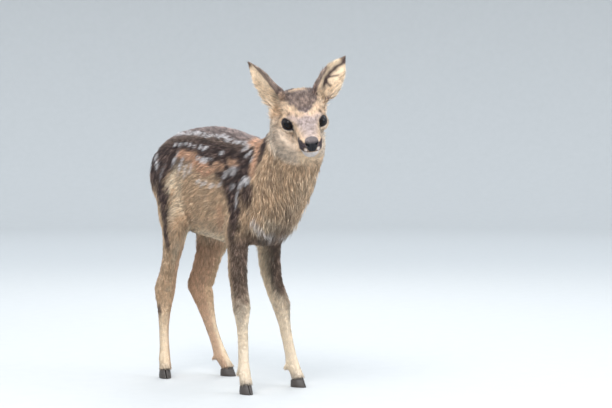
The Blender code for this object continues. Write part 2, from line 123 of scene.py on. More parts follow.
headTurn = {"yaw": math.radians(23.5), "pitch": math.radians(31), "eyesForward": 0.0022, "eyesUp": 0.0010}
eyeMiddles = {"left": middleOf("eye_left"), "right": middleOf("eye_right")}
eyeRadius = (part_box("eye_left")[1].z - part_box("eye_left")[0].z) / 2
headLeft = (eyeMiddles["left"] - eyeMiddles["right"]).normalized()
ahead = Vector((-math.sin(headTurn["yaw"]), -math.cos(headTurn["yaw"]), -math.tan(headTurn["pitch"])))
headForward = (ahead - headLeft * ahead.dot(headLeft)).normalized()
headUp = headForward.cross(headLeft)
headAxes = np.array((headForward, headLeft, headUp))
headOrigin = np.array((eyeMiddles["left"] + eyeMiddles["right"]) / 2)
headOrigin = headOrigin - headAxes[0] * headTurn["eyesForward"] - headAxes[2] * headTurn["eyesUp"]
eyeSwell = {"grow": 1.06, "left": (0.0013, -0.0004, 0.0007), "right": (0.0013, -0.0022, 0.0007)}
eyeRadius *= eyeSwell["grow"]
for eyeSide, eyeMiddle in eyeMiddles.items():
    eyeMiddle += Vector(np.array(eyeSwell[eyeSide]) @ headAxes)
eyePlaces = {eyeSide: np.array(eyeMiddle) for eyeSide, eyeMiddle in eyeMiddles.items()}


def headPlaces(places):  # forward, left and up from between the eyes
    return (places - headOrigin) @ headAxes.T


def fromHead(forward, left, up):
    return headOrigin + np.array((forward, left, up)) @ headAxes


earFacing = {"left": (0.915, 0.06, 0.39), "right": (0.30, -0.90, 0.25)}  # where each ear's hollow looks


def earFrame(side):
    places = placesOf(nodes["ear_" + side].data)
    reach = np.linalg.norm(places - headOrigin, axis=1)
    tip, root = places[reach.argmax()], places[reach < np.percentile(reach, 12)].mean(0)
    along = unit(tip - root)
    facing = np.array(earFacing[side]) @ headAxes
    facing = unit(facing - along * (facing @ along))
    length = np.linalg.norm(tip - root)
    across = np.cross(along, facing)
    return {"root": root, "along": along, "facing": facing, "across": across, "length": length}


ears = {side: earFrame(side) for side in hands}


# How the coat lies: guides over the body, read anywhere as a mix of the nearest ones

coatDepth = {"eyeFade": 0.011, "ear": 0.0008}
guideBlend = {"reach": 0.008, "batch": 20000, "ring": 0.012}
flankGuides = [  # side, back, height, then the lie of the hair, the depth and the length of a lock in mm
    (0, 0.16, 0.97, (0, 1, -0.1), 3.5, 10.6),
    (0, 0.4, 0.99, (0, 1, 0), 3.7, 11.4),
    (0, 0.65, 0.99, (0, 1, -0.1), 4, 12.2),
    (0, 0.86, 0.95, (0, 1, -0.7), 4.4, 12.9),
    (0, 0.98, 0.84, (0, 0.25, -1), 4.8, 14.4),
    (0, 0.95, 0.7, (0, -0.1, -1), 5.3, 14.4),
    (1, 0.05, 0.86, (0.1, 0.35, -1), 4.4, 12.9),
    (1, 0.2, 0.88, (0.1, 0.75, -0.75), 4, 11.4),
    (1, 0.18, 0.7, (0, 0.35, -1), 4, 11.4),
    (1, 0.2, 0.56, (0, 0.15, -1), 3.7, 10.6),
    (1, 0.38, 0.8, (0, 1, -0.4), 4.4, 12.9),
    (1, 0.38, 0.65, (0, 1, -0.5), 5.3, 15.2),
    (1, 0.58, 0.86, (0, 1, -0.45), 4.4, 12.9),
    (1, 0.58, 0.66, (0, 1, -0.35), 5.5, 16),
    (1, 0.72, 0.9, (0.05, 0.55, -0.85), 4.4, 12.2),
    (1.1, 0.74, 0.74, (0, 0.3, -1), 4.4, 12.2),
    (1.1, 0.7, 0.58, (0, 0.3, -1), 4, 11.4),
    (0.8, 0.92, 0.76, (0, 0.2, -1), 5.3, 16),
    (0.7, 0.9, 0.64, (0, 0.35, -1), 5.3, 16.7),
    (0, 0.25, 0.55, (0, 1, -0.1), 4.8, 12.2),
    (0, 0.55, 0.57, (0, 1, 0), 4.8, 12.2),
    (0, -0.02, 0.58, (0, 0.55, -0.8), 7.5, 19.8),
    (0.6, 0.02, 0.66, (0, 0.1, -1), 7, 19),
    (0, -0.1, 0.7, (0, -0.1, -1), 7.9, 20.5),
    (0.7, -0.04, 0.76, (-0.1, -0.35, -0.95), 7, 18.2),
    (0, -0.18, 0.8, (0, -0.2, -1), 7.5, 19),
    (0.8, -0.07, 0.9, (-0.05, -0.25, -1), 6.2, 15.2),
    (0, 0.02, 1, (0, 0.75, -0.65), 4.4, 12.2),
    (0, -0.04, 1.07, (0, 0.45, -0.9), 4.8, 12.2),
    (0.7, -0.12, 1, (0, 0.05, -1), 5.3, 12.2),
]
headGuides = [  # forward, left and up in mm, then the same three
    (66, 0, 10, (-1, 0, 0.15), 0.8, 2.6),
    (50, 0, 13, (-1, 0, 0.15), 1.1, 3.2),
    (28, 0, 19, (-1, 0, 0.3), 1.6, 4.2),
    (5, 0, 29, (-1, 0, 0.45), 2, 5.2),
    (-25, 0, 37, (-1, 0, 0.1), 2.6, 6.6),
    (-60, 0, 31, (-1, 0, -0.6), 3.4, 10),
    (-28, 26, 30, (-1, 0.35, 0.1), 2.6, 6.8),
    (52, 18, -8, (-1, 0.1, -0.1), 1.1, 3.2),
    (30, 20, -12, (-1, 0.2, -0.3), 1.6, 4.5),
    (8, 26, -20, (-1, 0.3, -0.45), 2.4, 7),
    (-22, 38, -18, (-1, 0.45, -0.6), 3.6, 11),
    (-30, 40, 6, (-1, 0.6, -0.15), 3.6, 11),
    (-52, 41, -4, (-0.9, 0.75, -0.35), 4.6, 14),
    (-55, 38, -26, (-0.8, 0.6, -0.75), 5, 15),
    (-70, 25, 10, (-1, 0.45, -0.4), 4.5, 13),
    (64, 8, -22, (-0.6, 0.1, -0.8), 1.1, 3.4),
    (50, 0, -35, (-1, 0, -0.25), 1.6, 5.2),
    (15, 0, -38, (-1, 0, -0.4), 2.6, 8),
    (-25, 0, -43, (-0.6, 0, -0.8), 4.6, 14),
]
legGuides = [  # share of the way up the half of the leg, depth and length in mm
    ("upper", 1, 3.8, 13),
    ("upper", 0.6, 2.8, 9.5),
    ("upper", 0.2, 2, 7.2),
    ("lower", 0.85, 1.6, 5.8),
    ("lower", 0.45, 1.2, 4.6),
    ("lower", 0.1, 1.2, 5.6),
]


def coatGuides():  # every guide as a place, a direction, a depth and a length, on both sides
    rows = []
    for side, back, height, lie, depth, length in flankGuides:
        for hand in (-1, 1):
            rows.append((onBody(side * hand, back, height), np.array(lie) * (hand, 1, 1), depth, length))
    for forward, left, up, lie, depth, length in headGuides:
        for hand in (-1, 1):
            way = (np.array(lie) * (1, hand, 1)) @ headAxes
            rows.append((fromHead(forward * mm, left * hand * mm, up * mm), way, depth, length))
    for leg in ("foreleg_left", "foreleg_right", "hindleg_left", "hindleg_right"):
        for half, share, depth, length in legGuides:
            mesh = placesOf(nodes[leg + "_" + half].data)
            low, high = mesh[:, 2].min(), mesh[:, 2].max()
            level = low + (high - low) * share
            ring = mesh[np.abs(mesh[:, 2] - level) < guideBlend["ring"]]
            rows.append(((*ring.mean(0)[:2], level), np.array((0, 0.05, -1)), depth, length))
    places, lies, depths, lengths = zip(*rows)
    return np.array(places), unit(np.array(lies)), np.array(depths) * mm, np.array(lengths) * mm


guides = coatGuides()


def coatAt(places):  # the lie, depth and length of the coat at these places
    lie, depth, length = np.empty((len(places), 3)), np.empty(len(places)), np.empty(len(places))
    for start in range(0, len(places), guideBlend["batch"]):
        some = slice(start, start + guideBlend["batch"])
        away = ((places[some, None] - guides[0][None]) ** 2).sum(-1)
        weight = 1 / (away + guideBlend["reach"] ** 2) ** 2
        weight /= weight.sum(1, keepdims=True)
        lie[some], depth[some], length[some] = weight @ guides[1], weight @ guides[2], weight @ guides[3]
    return lie, depth, length


def earPlaces(places):  # the share along its ear, the distance across it, and its side, 0 off the ears
    best = {"along": np.full(len(places), -1.0)}
    best.update({name: np.zeros(len(places)) for name in ("across", "side")})
    for side, hand in hands.items():
        ear = ears[side]
        off = places - ear["root"]
        along, across = off @ ear["along"] / ear["length"], off @ ear["across"]
        out = off - np.outer(off @ ear["along"], ear["along"])
        near = (np.linalg.norm(out, axis=1) < 0.033) & (along > -0.15)
        best["along"][near] = along[near]
        best["across"][near] = across[near]
        best["side"][near] = hand
    return best


# Markings, the same for skin and coat

darkEdge = {  # how low the dark saddle comes, along the body
    "back": [-0.30, -0.06, 0.02, 0.10, 0.20, 0.27, 0.34, 0.45, 0.58, 0.68, 0.76, 0.86, 1.05],
    "height": [1.20, 1.02, 0.87, 0.76, 0.69, 0.76, 0.815, 0.83, 0.86, 0.85, 0.76, 0.74, 0.78],
}
spotRows = [  # start, middle and end as back and height, how many dashes, half sizes in mm, strength
    ((0.84, 0.966), (0.52, 0.967), (0.2, 0.926), 18, (5, 3.8), 0.9),
    ((0.76, 0.932), (0.6, 0.924), (0.44, 0.905), 7, (5.4, 4), 0.9),
    ((0.5, 0.885), (0.42, 0.868), (0.31, 0.902), 5, (6, 4.6), 0.85),
    ((0.9, 0.9), (0.88, 0.85), (0.83, 0.84), 5, (5, 5), 0.85),
    ((0.48, 0.79), (0.38, 0.772), (0.27, 0.78), 6, (6, 4), 0.6),
]
patches = {  # by colour: back, height, half length and half height in mm, turn in degrees, strength
    "white": [
        (0.7, 0.868, 4, 14, 20, 0.9),
        (0.64, 0.842, 4, 14, 15, 0.9),
        (0.585, 0.822, 4.5, 13, 15, 0.75),
        (0.542, 0.833, 4, 10, 15, 0.65),
        (0.775, 0.815, 3, 13, 10, 0.5),
        (0.264, 0.812, 6, 8, 0, 0.55),
        (0.215, 0.826, 10, 7, 20, 0.55),
        (0.105, 0.792, 10, 6.5, 10, 1),
        (0.14, 0.768, 7, 7, 40, 0.7),
        (0.152, 0.722, 3.5, 16, 0, 0.6),
        (0.197, 0.767, 9, 5, 0, 0.5),
        (0.197, 0.915, 6, 7, 30, 0.75),
        (0.148, 0.89, 6, 8, 30, 0.7),
        (0.098, 0.872, 5, 8, 30, 0.5),
        (0.06, 0.605, 6, 22, -25, 0.5),
    ],
    "rufous": [
        (0.648, 0.89, 18, 8, -10, 0.95),
        (0.569, 0.88, 18, 8.5, -10, 0.95),
        (0.501, 0.858, 18, 8.5, -15, 0.95),
        (0.44, 0.838, 18, 8.5, -15, 0.95),
        (0.39, 0.822, 17, 8, -10, 0.85),
        (0.32, 0.842, 16, 7, 10, 0.6),
        (0.24, 0.858, 14, 7, 10, 0.6),
        (0.175, 0.935, 15, 9, 0, 0.95),
        (0.1, 0.925, 14, 14, 0, 0.95),
        (0.075, 0.87, 12, 16, 0, 0.9),
        (0.07, 0.83, 10, 13, 0, 0.7),
        (0.99, 0.78, 13, 22, 0, 0.95),
        (0.3, 0.65, 12, 20, 10, 0.5),
        (0.34, 0.6, 11, 13, 10, 0.4),
        (1, 0.7, 12, 33, 0, 0.8),
    ],
    "dark": [
        (0.775, 0.74, 20, 26, 10, 1),
        (0.725, 0.69, 14, 28, 6, 1),
        (0.7, 0.62, 12, 26, 3, 0.95),
        (0.7, 0.56, 10, 24, 0, 0.9),
        (0.19, 0.735, 20, 26, 0, 1),
        (0.165, 0.665, 15, 24, 0, 1),
        (0.19, 0.6, 12, 17, 0, 0.8),
        (0.095, 0.745, 13, 22, 0, 0.95),
        (0.012, 0.9, 5.5, 18, 0, 0.75),
        (0.05, 0.84, 5, 12, 0, 0.6),
    ],
    "cream": [
        (0.69, 0.79, 11, 30, 8, 0.85),
        (0.64, 0.71, 11, 33, 5, 0.7),
        (0.61, 0.8, 9, 16, 10, 0.45),
        (1, 0.64, 12, 16, 0, 0.6),
        (0.07, 0.56, 16, 24, -20, 0.8),
        (0.01, 0.6, 14, 24, 0, 0.6),
    ],
}
foreheadPatch = {
    "forward": [-0.075, -0.045, -0.022, -0.008, 0.004, 0.012],
    "half": [0.030, 0.027, 0.024, 0.017, 0.008, 0],
}


spotDrift = {"stray": 0.3, "longer": (0.7, 1.3), "turn": -18}


def rowSpots():  # the dashes of every row, as patches
    made = []
    for start, middle, end, count, (long, high), strength in spotRows:
        for i in range(count):
            t = (i + 0.5) / count
            back, height = (
                2 * (t - 0.5) * (t - 1) * a + 4 * t * (1 - t) * b + 2 * t * (t - 0.5) * c
                for a, b, c in zip(start, middle, end)
            )
            drift = chance.normal(0, spotDrift["stray"], 2) * (long, high) * mm
            back, height = back + drift[0] / body["length"], height + drift[1] / body["top"]
            longer = long * chance.uniform(*spotDrift["longer"])
            made.append((back, height, longer, high, spotDrift["turn"], strength))
    return made


patches["white"] += rowSpots()


def lay(masks, name, more):  # one more stretch of this mark over what there is of it
    masks[name] = 1 - (1 - masks[name]) * (1 - np.clip(more, 0, 1))


def marksAt(places, normals):
    side, back, height = bodyPlaces(places)
    ragged = cloud(places, 0.006) - 0.5
    broad = cloud(places, 0.022) - 0.5
    head, ear = headPlaces(places), earPlaces(places)
    onEar = (ear["side"] != 0) & (ear["along"] > 0.02)
    headness = smooth(-0.085, -0.065, head[:, 0]) * smooth(-0.060, -0.048, head[:, 2])
    headness = headness * (np.abs(head[:, 1]) < 0.06) * (head[:, 2] < 0.06)
    edge = np.interp(back, darkEdge["back"], darkEdge["height"]) + 0.03 * broad + 0.02 * ragged
    onSide = smooth(0.06, 0.25, height) * (1 - headness)
    masks = {"dark": smooth(-0.035, 0.035, height - edge) * onSide}
    for name in ("rufous", "cream", "white"):
        masks[name] = np.zeros(len(places))
    outer = smooth(-0.15, 0.30, normals[:, 0] * np.sign(side)) + smooth(0.5, 0.8, normals[:, 2])
    for colour, rows in patches.items():
        for at, up, long, high, turn, strength in rows:
            dy, dz = (back - at) * body["length"] / mm, (height - up) * body["top"] / mm
            c, s = math.cos(math.radians(turn)), math.sin(math.radians(turn))
            far = np.hypot((dy * c + dz * s) / long, (dz * c - dy * s) / high)
            blot = strength * (1 - smooth(0.65, 1.35, far + 0.9 * ragged))
            lay(masks, colour, blot * np.clip(outer, 0, 1) * onSide)
    masks["dark"] *= 1 - 0.85 * masks["rufous"]
    # belly, breast and the insides of the legs are pale, the hind legs' less so; their insides also get rust
    # and painted shade
    inside = smooth(0.15, 0.7, -normals[:, 0] * np.sign(side)) * (1 - smooth(0.55, 0.68, height))
    under = smooth(0.35, 0.8, -normals[:, 2]) * smooth(0.25, 0.35, back) * (1 - smooth(0.60, 0.68, height))
    hindlegs = (1 - smooth(0.50, 0.58, height)) * (back > 0.42)
    lay(masks, "cream", 0.8 * np.clip(inside * (1 - 0.85 * hindlegs) + under, 0, 1))
    lay(masks, "rufous", 0.45 * inside * hindlegs)
    # painted shade on the hind legs' inner sides
    lay(masks, "dark", 0.30 * inside * hindlegs)
    rear = smooth(0.35, 0.85, normals[:, 1]) * smooth(0.86, 0.95, back) * smooth(0.50, 0.60, height)
    rear = rear * (1 - smooth(0.80, 0.88, height)) * (1 - smooth(0.35, 0.75, np.abs(side)))
    lay(masks, "cream", rear)
    masks["dark"] *= 1 - np.clip(rear * 1.4, 0, 1)
    addNeck(masks, normals, back, height, headness)
    addLegs(masks, places, normals, side, back, height)
    addHead(masks, places, head, headness, ragged)
    addEars(masks, normals, ear, onEar, head, ragged)
    return {name: np.clip(mask, 0, 1) for name, mask in masks.items()}


def addNeck(masks, normals, back, height, headness):
    nape = smooth(0.25, 0.70, normals @ np.array((0, 0.86, 0.5))) * (1 - headness)
    nape = nape * (1 - smooth(-0.02, 0.06, back)) * smooth(0.85, 0.92, height)
    masks["dark"] *= 1 - smooth(-0.01, -0.06, back)
    lay(masks, "dark", 0.8 * nape)
    flecks = (1 - smooth(-0.02, 0.05, back)) * smooth(0.50, 0.60, height) * (1 - headness)
    masks["fleck"] = 0.22 + 0.16 * flecks
    # grey on the up-facing top of the neck and back: partly the spine's own grey-brown, partly a painted
    # sheen from the sky
    masks["grey"] = 0.9 * smooth(0.45, 0.80, normals[:, 2]) * smooth(0.88, 0.95, height) * (1 - headness)
    masks["dark"] *= 1 - 0.50 * masks["grey"]
    # painted shade on the downward-facing underside of the neck and breast
    under = smooth(0.30, 0.75, -normals[:, 2]) * (1 - smooth(0.10, 0.2, back)) * smooth(0.5, 0.55, height)
    under = under * (1 - smooth(0.66, 0.75, height))
    lay(masks, "dark", 0.45 * under)
    fringe = smooth(0.55, 0.95, -normals[:, 1]) * flecks
    lay(masks, "cream", 0.35 * fringe)


def addLegs(masks, places, normals, side, back, height):
    hand = np.sign(side)
    low = 1 - smooth(0.46, 0.54, height)
    fore, hind = low * (back < 0.42), low * (back >= 0.42)
    front = smooth(-0.35, 0.55, -normals[:, 1] + 0.35 * normals[:, 0] * hand)
    knee = smooth(0.27, 0.40, height + 0.06 * (cloud(places, 0.008) - 0.5))
    forearm = (1 - smooth(0.54, 0.63, height)) * (back < 0.33)
    masks["dark"] *= 1 - fore
    lay(masks, "dark", 0.85 * front * knee * forearm)
    lay(masks, "cream", (1 - knee) * fore)
    lay(masks, "white", 0.10 * (1 - knee) * fore)
    masks["fleck"] = masks["fleck"] * (1 - 0.8 * low)
    streak = smooth(0.55, 0.95, -normals[:, 1] * 0.6 + normals[:, 0] * hand * 0.8) * fore
    lay(masks, "dark", 0.35 * streak * smooth(0.20, 0.30, height) * (1 - knee))
    # hind legs: beige, with a dark line behind, rust on the hock's point and pale feet
    rear = smooth(0.25, 0.80, normals[:, 1] + 0.15 * normals[:, 0] * hand)
    shank = smooth(0.10, 0.22, height)
    masks["dark"] *= 1 - 0.5 * hind
    lay(masks, "dark", 0.55 * rear * hind * shank)
    hock = hill(height - 0.40, 0.07) * rear * hind
    # the hock's rust is halved on the near leg; full on the far leg, where it partly stands for painted
    # shade
    lay(masks, "rufous", 0.90 * hock * (1 - 0.5 * (side < 0)))
    lay(masks, "cream", 0.75 * hind * (1 - smooth(0.17, 0.33, height)) * (1 - 0.5 * rear))
    gland = hill(height - 0.265, 0.022) * smooth(0.45, 0.85, normals[:, 1] + normals[:, 0] * hand)
    lay(masks, "dark", 0.85 * gland * hind)
    foot = 1 - smooth(0.035, 0.075, height)
    lay(masks, "dark", 0.40 * foot)


headBlots = {  # middle and half size in mm as forward, wide and up; the edge's start and end; its raggedness
    "lips": ((60, 0, -5.2), (22, math.inf, 8.8), (0.80, 1.10), 0.25),
    "dot": ((0, 10.2, -9.2), (math.inf, 2.4, 3.6), (0.4, 1.4), 0.5),
    "dotRim": ((0, 10.2, -9.2), (math.inf, 2.4, 3.6), (0.5, 1.5), 0.5),
    "tear": ((15.8, 21.2, -1.8), (4.2, 3.0, 2.8), (0.7, 1.3), 0.5),
    "lash": ((-1, 24.5, 14.5), (4.5, 4.0, 6.0), (0.7, 1.4), 0),
    # behind: a band of painted shade in the fur behind the eyes
    "behind": ((-19, 0, 4), (4, math.inf, 12), (0.5, 1.4), 1),
}


def headBlot(name, head, ragged):  # 1 inside the blot, on both sides of the head
    middle, half, edge, rough = headBlots[name]
    off = (np.abs(head) * (0, 1, 0) + head * (1, 0, 1)) / mm - middle
    return 1 - smooth(*edge, np.linalg.norm(off / half, axis=1) + rough * ragged)


def addHead(masks, places, head, headness, ragged):
    forward, left, up = head.T
    wide = np.abs(left)
    for name in patches:
        masks[name] *= 1 - headness
    half = np.interp(forward, foreheadPatch["forward"], foreheadPatch["half"])
    crown = smooth(0.003, -0.003, wide - half + 0.010 * ragged) * smooth(0.014, 0.006, forward)
    crown = crown * smooth(0.008, 0.020, up) * smooth(-0.050, -0.040, forward) * headness
    lay(masks, "dark", 0.66 * crown)
    brow = hill(wide - half - 0.007, 0.008) * smooth(0.006, 0.018, up) * smooth(0.022, 0.010, forward)
    brow = brow * headness * (1 - crown)
    lay(masks, "rufous", 0.22 * brow)
    lay(masks, "cream", 0.60 * brow)
    cheek = smooth(0.010, 0.024, wide) * smooth(0.010, -0.006, up) * headness
    lay(masks, "cream", 0.70 * cheek)
    face = headness * smooth(0.000, 0.014, up - 0.2 * wide) * smooth(-0.004, 0.010, forward) * (1 - brow)
    lay(masks, "cream", 0.20 * face)
    masks["grey"] += 0.95 * face + 0.6 * crown + 0.35 * cheek * (1 - face)
    masks["fleck"] = masks["fleck"] * (1 - headness) + headness * (0.22 + 0.5 * crown + 0.45 * face)
    throat = smooth(-0.026, -0.036, up) * headness
    lay(masks, "cream", 0.55 * throat)
    chin = smooth(-0.0140, -0.0160, up) * smooth(0.044, 0.056, forward) * headness
    lay(masks, "white", 0.85 * chin)
    pad = nosePad(head)
    lips = headBlot("lips", head, ragged) * smooth(0.0050, 0.0080, wide) * headness
    masks["lip"] = 0.96 * lips * (1 - pad)
    masks["white"] *= 1 - masks["lip"]
    lay(masks, "white", 0.62 * headBlot("dot", head, ragged) * (forward > 0.05))
    masks["lip"] *= 1 - headBlot("dotRim", head, ragged)
    # the bare nose is near black; its top is left a quarter grey as a painted highlight of the sky on the
    # wet pad
    masks["nose"] = pad * (1 - 0.25 * smooth(0.0005, 0.0065, up))
    masks["grey"] += pad
    rim = 1 - smooth(lidSizes["rim"] - 0.05, lidSizes["rim"] + 0.10, lidShare(places)[0] + 0.15 * ragged)
    rim = np.maximum(rim * (fromEyes(places) < lidSizes["margin"]), headBlot("tear", head, ragged))
    lay(masks, "lip", rim)
    lay(masks, "nose", 0.75 * rim)
    line = hill(up - mouthLevel(forward), 0.0009) * smooth(0.036, 0.044, forward) * headness
    lay(masks, "lip", line * (wide < 0.02))
    lay(masks, "dark", 0.9 * headBlot("lash", head, ragged))
    # painted shade in the fur: a soft dark band behind each eye
    lay(masks, "dark", 0.42 * headBlot("behind", head, ragged) * headness)


earMarks = {  # lines across the ears, in metres from their middles, along their length; the streak marks where a painted fold shadow runs
    "along": [0.00, 0.20, 0.40, 0.55, 0.75, 0.90, 1.00],
    "streak": [0.002, 0.001, -0.006, -0.006, -0.001, 0.004, 0.006],
    "medialBack": [-0.004, -0.009, -0.012, -0.015, -0.030, -0.030, -0.030],
    "foldedBack": [-0.011, -0.008, -0.005, -0.002, 0.003, 0.006, 0.009],
}


earRoots = [(-0.042, 0.024, 0.034), (-0.043, -0.028, 0.031)]  # forward, left and up


def addEars(masks, normals, ear, onEar, head, ragged):
    facing = np.zeros(len(normals))
    for side, hand in hands.items():
        mine = ear["side"] == hand
        facing[mine] = normals[mine] @ ears[side]["facing"]
    inner = smooth(-0.10, 0.25, facing)
    along, across = ear["along"], ear["across"] + 0.002 * ragged
    lines = {name: np.interp(along, earMarks["along"], row) for name, row in earMarks.items()}
    left, right = ear["side"] > 0, ear["side"] < 0
    inner = inner * (1 - left * smooth(0.001, -0.002, across - lines["medialBack"]))
    inner = inner * (1 - right * smooth(-0.001, 0.002, across - lines["foldedBack"]))
    for name in ("dark", "rufous", "white", "cream", "fleck", "grey"):
        masks[name] = np.where(onEar, 0, masks[name])
    tip = smooth(0.85, 0.94, along)
    back = onEar * (1 - inner)
    lay(masks, "dark", back * (0.55 + 0.3 * smooth(0.4, 0.0, along) + 0.5 * tip))
    lay(masks, "grey", 0.5 * back)
    hollow = onEar * inner
    lay(masks, "cream", 0.50 * hollow * (1 - tip))
    # on the left ear, a painted shadow of the hollow's folds: a dark streak along it with two branches
    streak = hill(across - lines["streak"], 0.0040) * smooth(0.12, 0.30, along)
    foldShadows = hill(along - 0.50 - 12.0 * across, 0.035) + hill(along - 0.36 + 3.0 * across, 0.030)
    foldShadows = foldShadows * smooth(-0.007, -0.004, across) * smooth(0.011, 0.007, across) * (along > 0.25)
    rim = hill(facing, 0.30) * smooth(0.45, 0.60, along) * ((across < 0) | (along > 0.8))
    shown = np.where(left, streak + 0.85 * foldShadows, 0)
    lay(masks, "dark", hollow * (shown + 0.8 * tip) + 0.7 * onEar * rim)
    masks["fleck"] = np.where(onEar, 0.25, masks["fleck"])
    root = np.zeros(len(normals))
    for spot in earRoots:
        root = np.maximum(root, 1 - smooth(0.009, 0.016, np.linalg.norm(head - spot, axis=1)))
    lay(masks, "dark", 0.75 * root * (1 - hollow))


noseShape = {
    "up": [-0.0122, -0.0115, -0.0085, -0.0045, 0.0000, 0.0035, 0.0065, 0.0085, 0.0098, 0.0106],
    "half": [0.0000, 0.0052, 0.0070, 0.0086, 0.0104, 0.0112, 0.0104, 0.0084, 0.0054, 0.0000],
}


def nosePad(head):  # 1 on the bare nose
    forward, left, up = head.T
    half = np.interp(up, noseShape["up"], noseShape["half"])
    return smooth(0.0006, -0.0006, np.abs(left) - half) * smooth(0.0560, 0.0590, forward)


# The skin: the flesh nodes made one, drawn in by the coat's depth, with lids, nose and mouth

hem = {"height": 0.508, "reach": 0.035, "back": 0.32, "turns": 45, "lift": 0.009}
skinSizes = {
    "fatten": 0.0005,
    "voxel": 0.0015,
    "smoothing": 5,
    "bodyFaces": 50000,
    "headReach": 0.090,
    "muzzleStart": 0.040,
    "noseStart": 0.058,
    "eyeReach": 0.006,
}
lidSizes = {
    "across": math.radians(64),
    "upper": math.radians(38),
    "lower": math.radians(37),
    "thick": 0.0010,
    "rows": 8,
    "step": math.radians(7),
    "climb": 0.0005,
    "swell": 0.0003,
    "reach": 0.0155,
    "beyond": np.radians((-60, -4, 0, 6, 14)),
    "heights": [-0.0014, -0.0010, 0.0007, 0.0016, 0.0036],
    "rim": 1.12,
    "bare": 1.08,
    "margin": 0.0045,
    "round": 1.8,
    "clear": 0.0003,
}
gazes = {"left": (0.74, 0.58, 0.33), "right": (0.74, -0.58, 0.33)}


def objectFrom(bm, name):
    mesh = bpy.data.meshes.new(name)
    bm.to_mesh(mesh)
    bm.free()
    return show(name, mesh)


def applyModifiers(thing):
    graph = bpy.context.evaluated_depsgraph_get()
    made = bpy.data.meshes.new_from_object(thing.evaluated_get(graph))
    thing.modifiers.clear()
    thing.data = made


def gazeFrame(side):  # outward, forward along the lids' corners, and up
    out = unit(np.array(gazes[side]) @ headAxes)
    corner = unit(np.array(headForward) - out * (np.array(headForward) @ out))
    up = np.cross(out, corner) * (-1 if side == "left" else 1)
    return out, corner, up


def lidOpening(across, tall):  # how far the lids open, towards each way round the eye
    wide = np.where(tall > 0, lidSizes["upper"], lidSizes["lower"])
    power = lidSizes["round"]
    return ((np.abs(across) / lidSizes["across"]) ** power + (np.abs(tall) / wide) ** power) ** (-1 / power)


def lidShare(places):  # 1 on the lids' edges and more outside, the angle past them, the eye's distance
    share, reach, beyond = (np.full(len(places), 9.0) for _ in range(3))
    for side in hands:
        out, corner, up = gazeFrame(side)
        off = places - eyePlaces[side]
        far = np.linalg.norm(off, axis=1)
        flat = np.maximum(np.hypot(off @ corner, off @ up), 1e-9)
        turn = np.arccos(np.clip(off @ out / np.maximum(far, 1e-9), -1, 1))
        edge = lidOpening(off @ corner / flat, off @ up / flat)
        nearer = (far < lidSizes["reach"]) & (far < reach)
        share = np.where(nearer, turn / edge, share)
        beyond = np.where(nearer, turn - edge, beyond)
        reach = np.minimum(reach, far)
    return share, beyond, reach


def lidLine(side, row, count=36):  # row 0 is the almond edge of the lids, and further rows lie outside it
    out, corner, up = gazeFrame(side)
    points = []
    for i in range(count):
        turn = 2 * math.pi * i / count
        c, s = math.cos(turn), math.sin(turn)
        opening = float(lidOpening(c, s)) + row * lidSizes["step"]
        ring = corner * c + up * s
        reach = eyeRadius + lidSizes["clear"] + row * lidSizes["climb"]
        points.append(eyePlaces[side] + reach * (out * math.cos(opening) + ring * math.sin(opening)))
    return points


def rope(name, points, radius, sides=4):  # a closed round cord through points, as a mesh
    curve = bpy.data.curves.new(name, "CURVE")
    curve.dimensions, curve.bevel_depth, curve.bevel_resolution = "3D", 1.0, sides
    curve.use_fill_caps = True
    spline = curve.splines.new("POLY")
    spline.points.add(len(points) - 1)
    for point, place in zip(spline.points, points):
        point.co, point.radius = (*place, 1), radius
    spline.use_cyclic_u = True
    drawn = show(name, curve)
    mesh = bpy.data.meshes.new_from_object(drawn.evaluated_get(bpy.context.evaluated_depsgraph_get()))
    bpy.data.objects.remove(drawn)
    return mesh


def fleshNames():
    return [name for name in nodes if not name.startswith(("claw", "eye"))]


def makeSkin():
    bm = bmesh.new()
    for name in fleshNames():
        bm.from_mesh(nodes[name].data)
    bmesh.ops.remove_doubles(bm, verts=bm.verts, dist=1e-6)
    bm.normal_update()
    for vert in bm.verts:
        vert.co += vert.normal * skinSizes["fatten"]
    for side in hands:
        for row in range(lidSizes["rows"]):
            bm.from_mesh(rope("lids", lidLine(side, row), lidSizes["thick"] + row * lidSizes["swell"]))
    skin = objectFrom(bm, "skin")
    remesh = skin.modifiers.new("OneSkin", "REMESH")
    remesh.mode, remesh.voxel_size = "VOXEL", skinSizes["voxel"]
    even = skin.modifiers.new("Even", "SMOOTH")
    even.factor, even.iterations = 0.5, skinSizes["smoothing"]
    applyModifiers(skin)
    liftHem(skin)
    thinBody(skin)
    bm = bmesh.new()
    bm.from_mesh(skin.data)
    for wanted in (onFace, onNose):
        finer(bm, wanted)
        bmesh.ops.triangulate(bm, faces=bm.faces)
    bm.to_mesh(skin.data)
    bm.free()
    drawIn(skin)
    sculptLids(skin)
    sculptMuzzle(skin)
    skin.data.shade_smooth()
    print("skin:", len(skin.data.polygons), "faces")
    return skin


def liftHem(skin):  # where the breast meets the forelegs
    places = placesOf(skin.data)
    _, back, height = bodyPlaces(places)
    rise = smooth(0.43, hem["height"], height) * smooth(0.66, 0.53, height) * smooth(0.42, hem["back"], back)
    places[:, 2] += hem["lift"] * rise
    setPlaces(skin.data, places)
    soften(skin, (np.abs(height - hem["height"]) < hem["reach"]) & (back < hem["back"]), hem["turns"])


def onFace(places):
    return onMuzzle(places, skinSizes["muzzleStart"]) | (fromEyes(places) < skinSizes["eyeReach"])


def onNose(places):
    return onMuzzle(places, skinSizes["noseStart"])


def onMuzzle(places, start):
    forward, left, up = headPlaces(places).T
    return (forward > start) & (np.abs(left) < 0.03) & (np.abs(up) < 0.04)


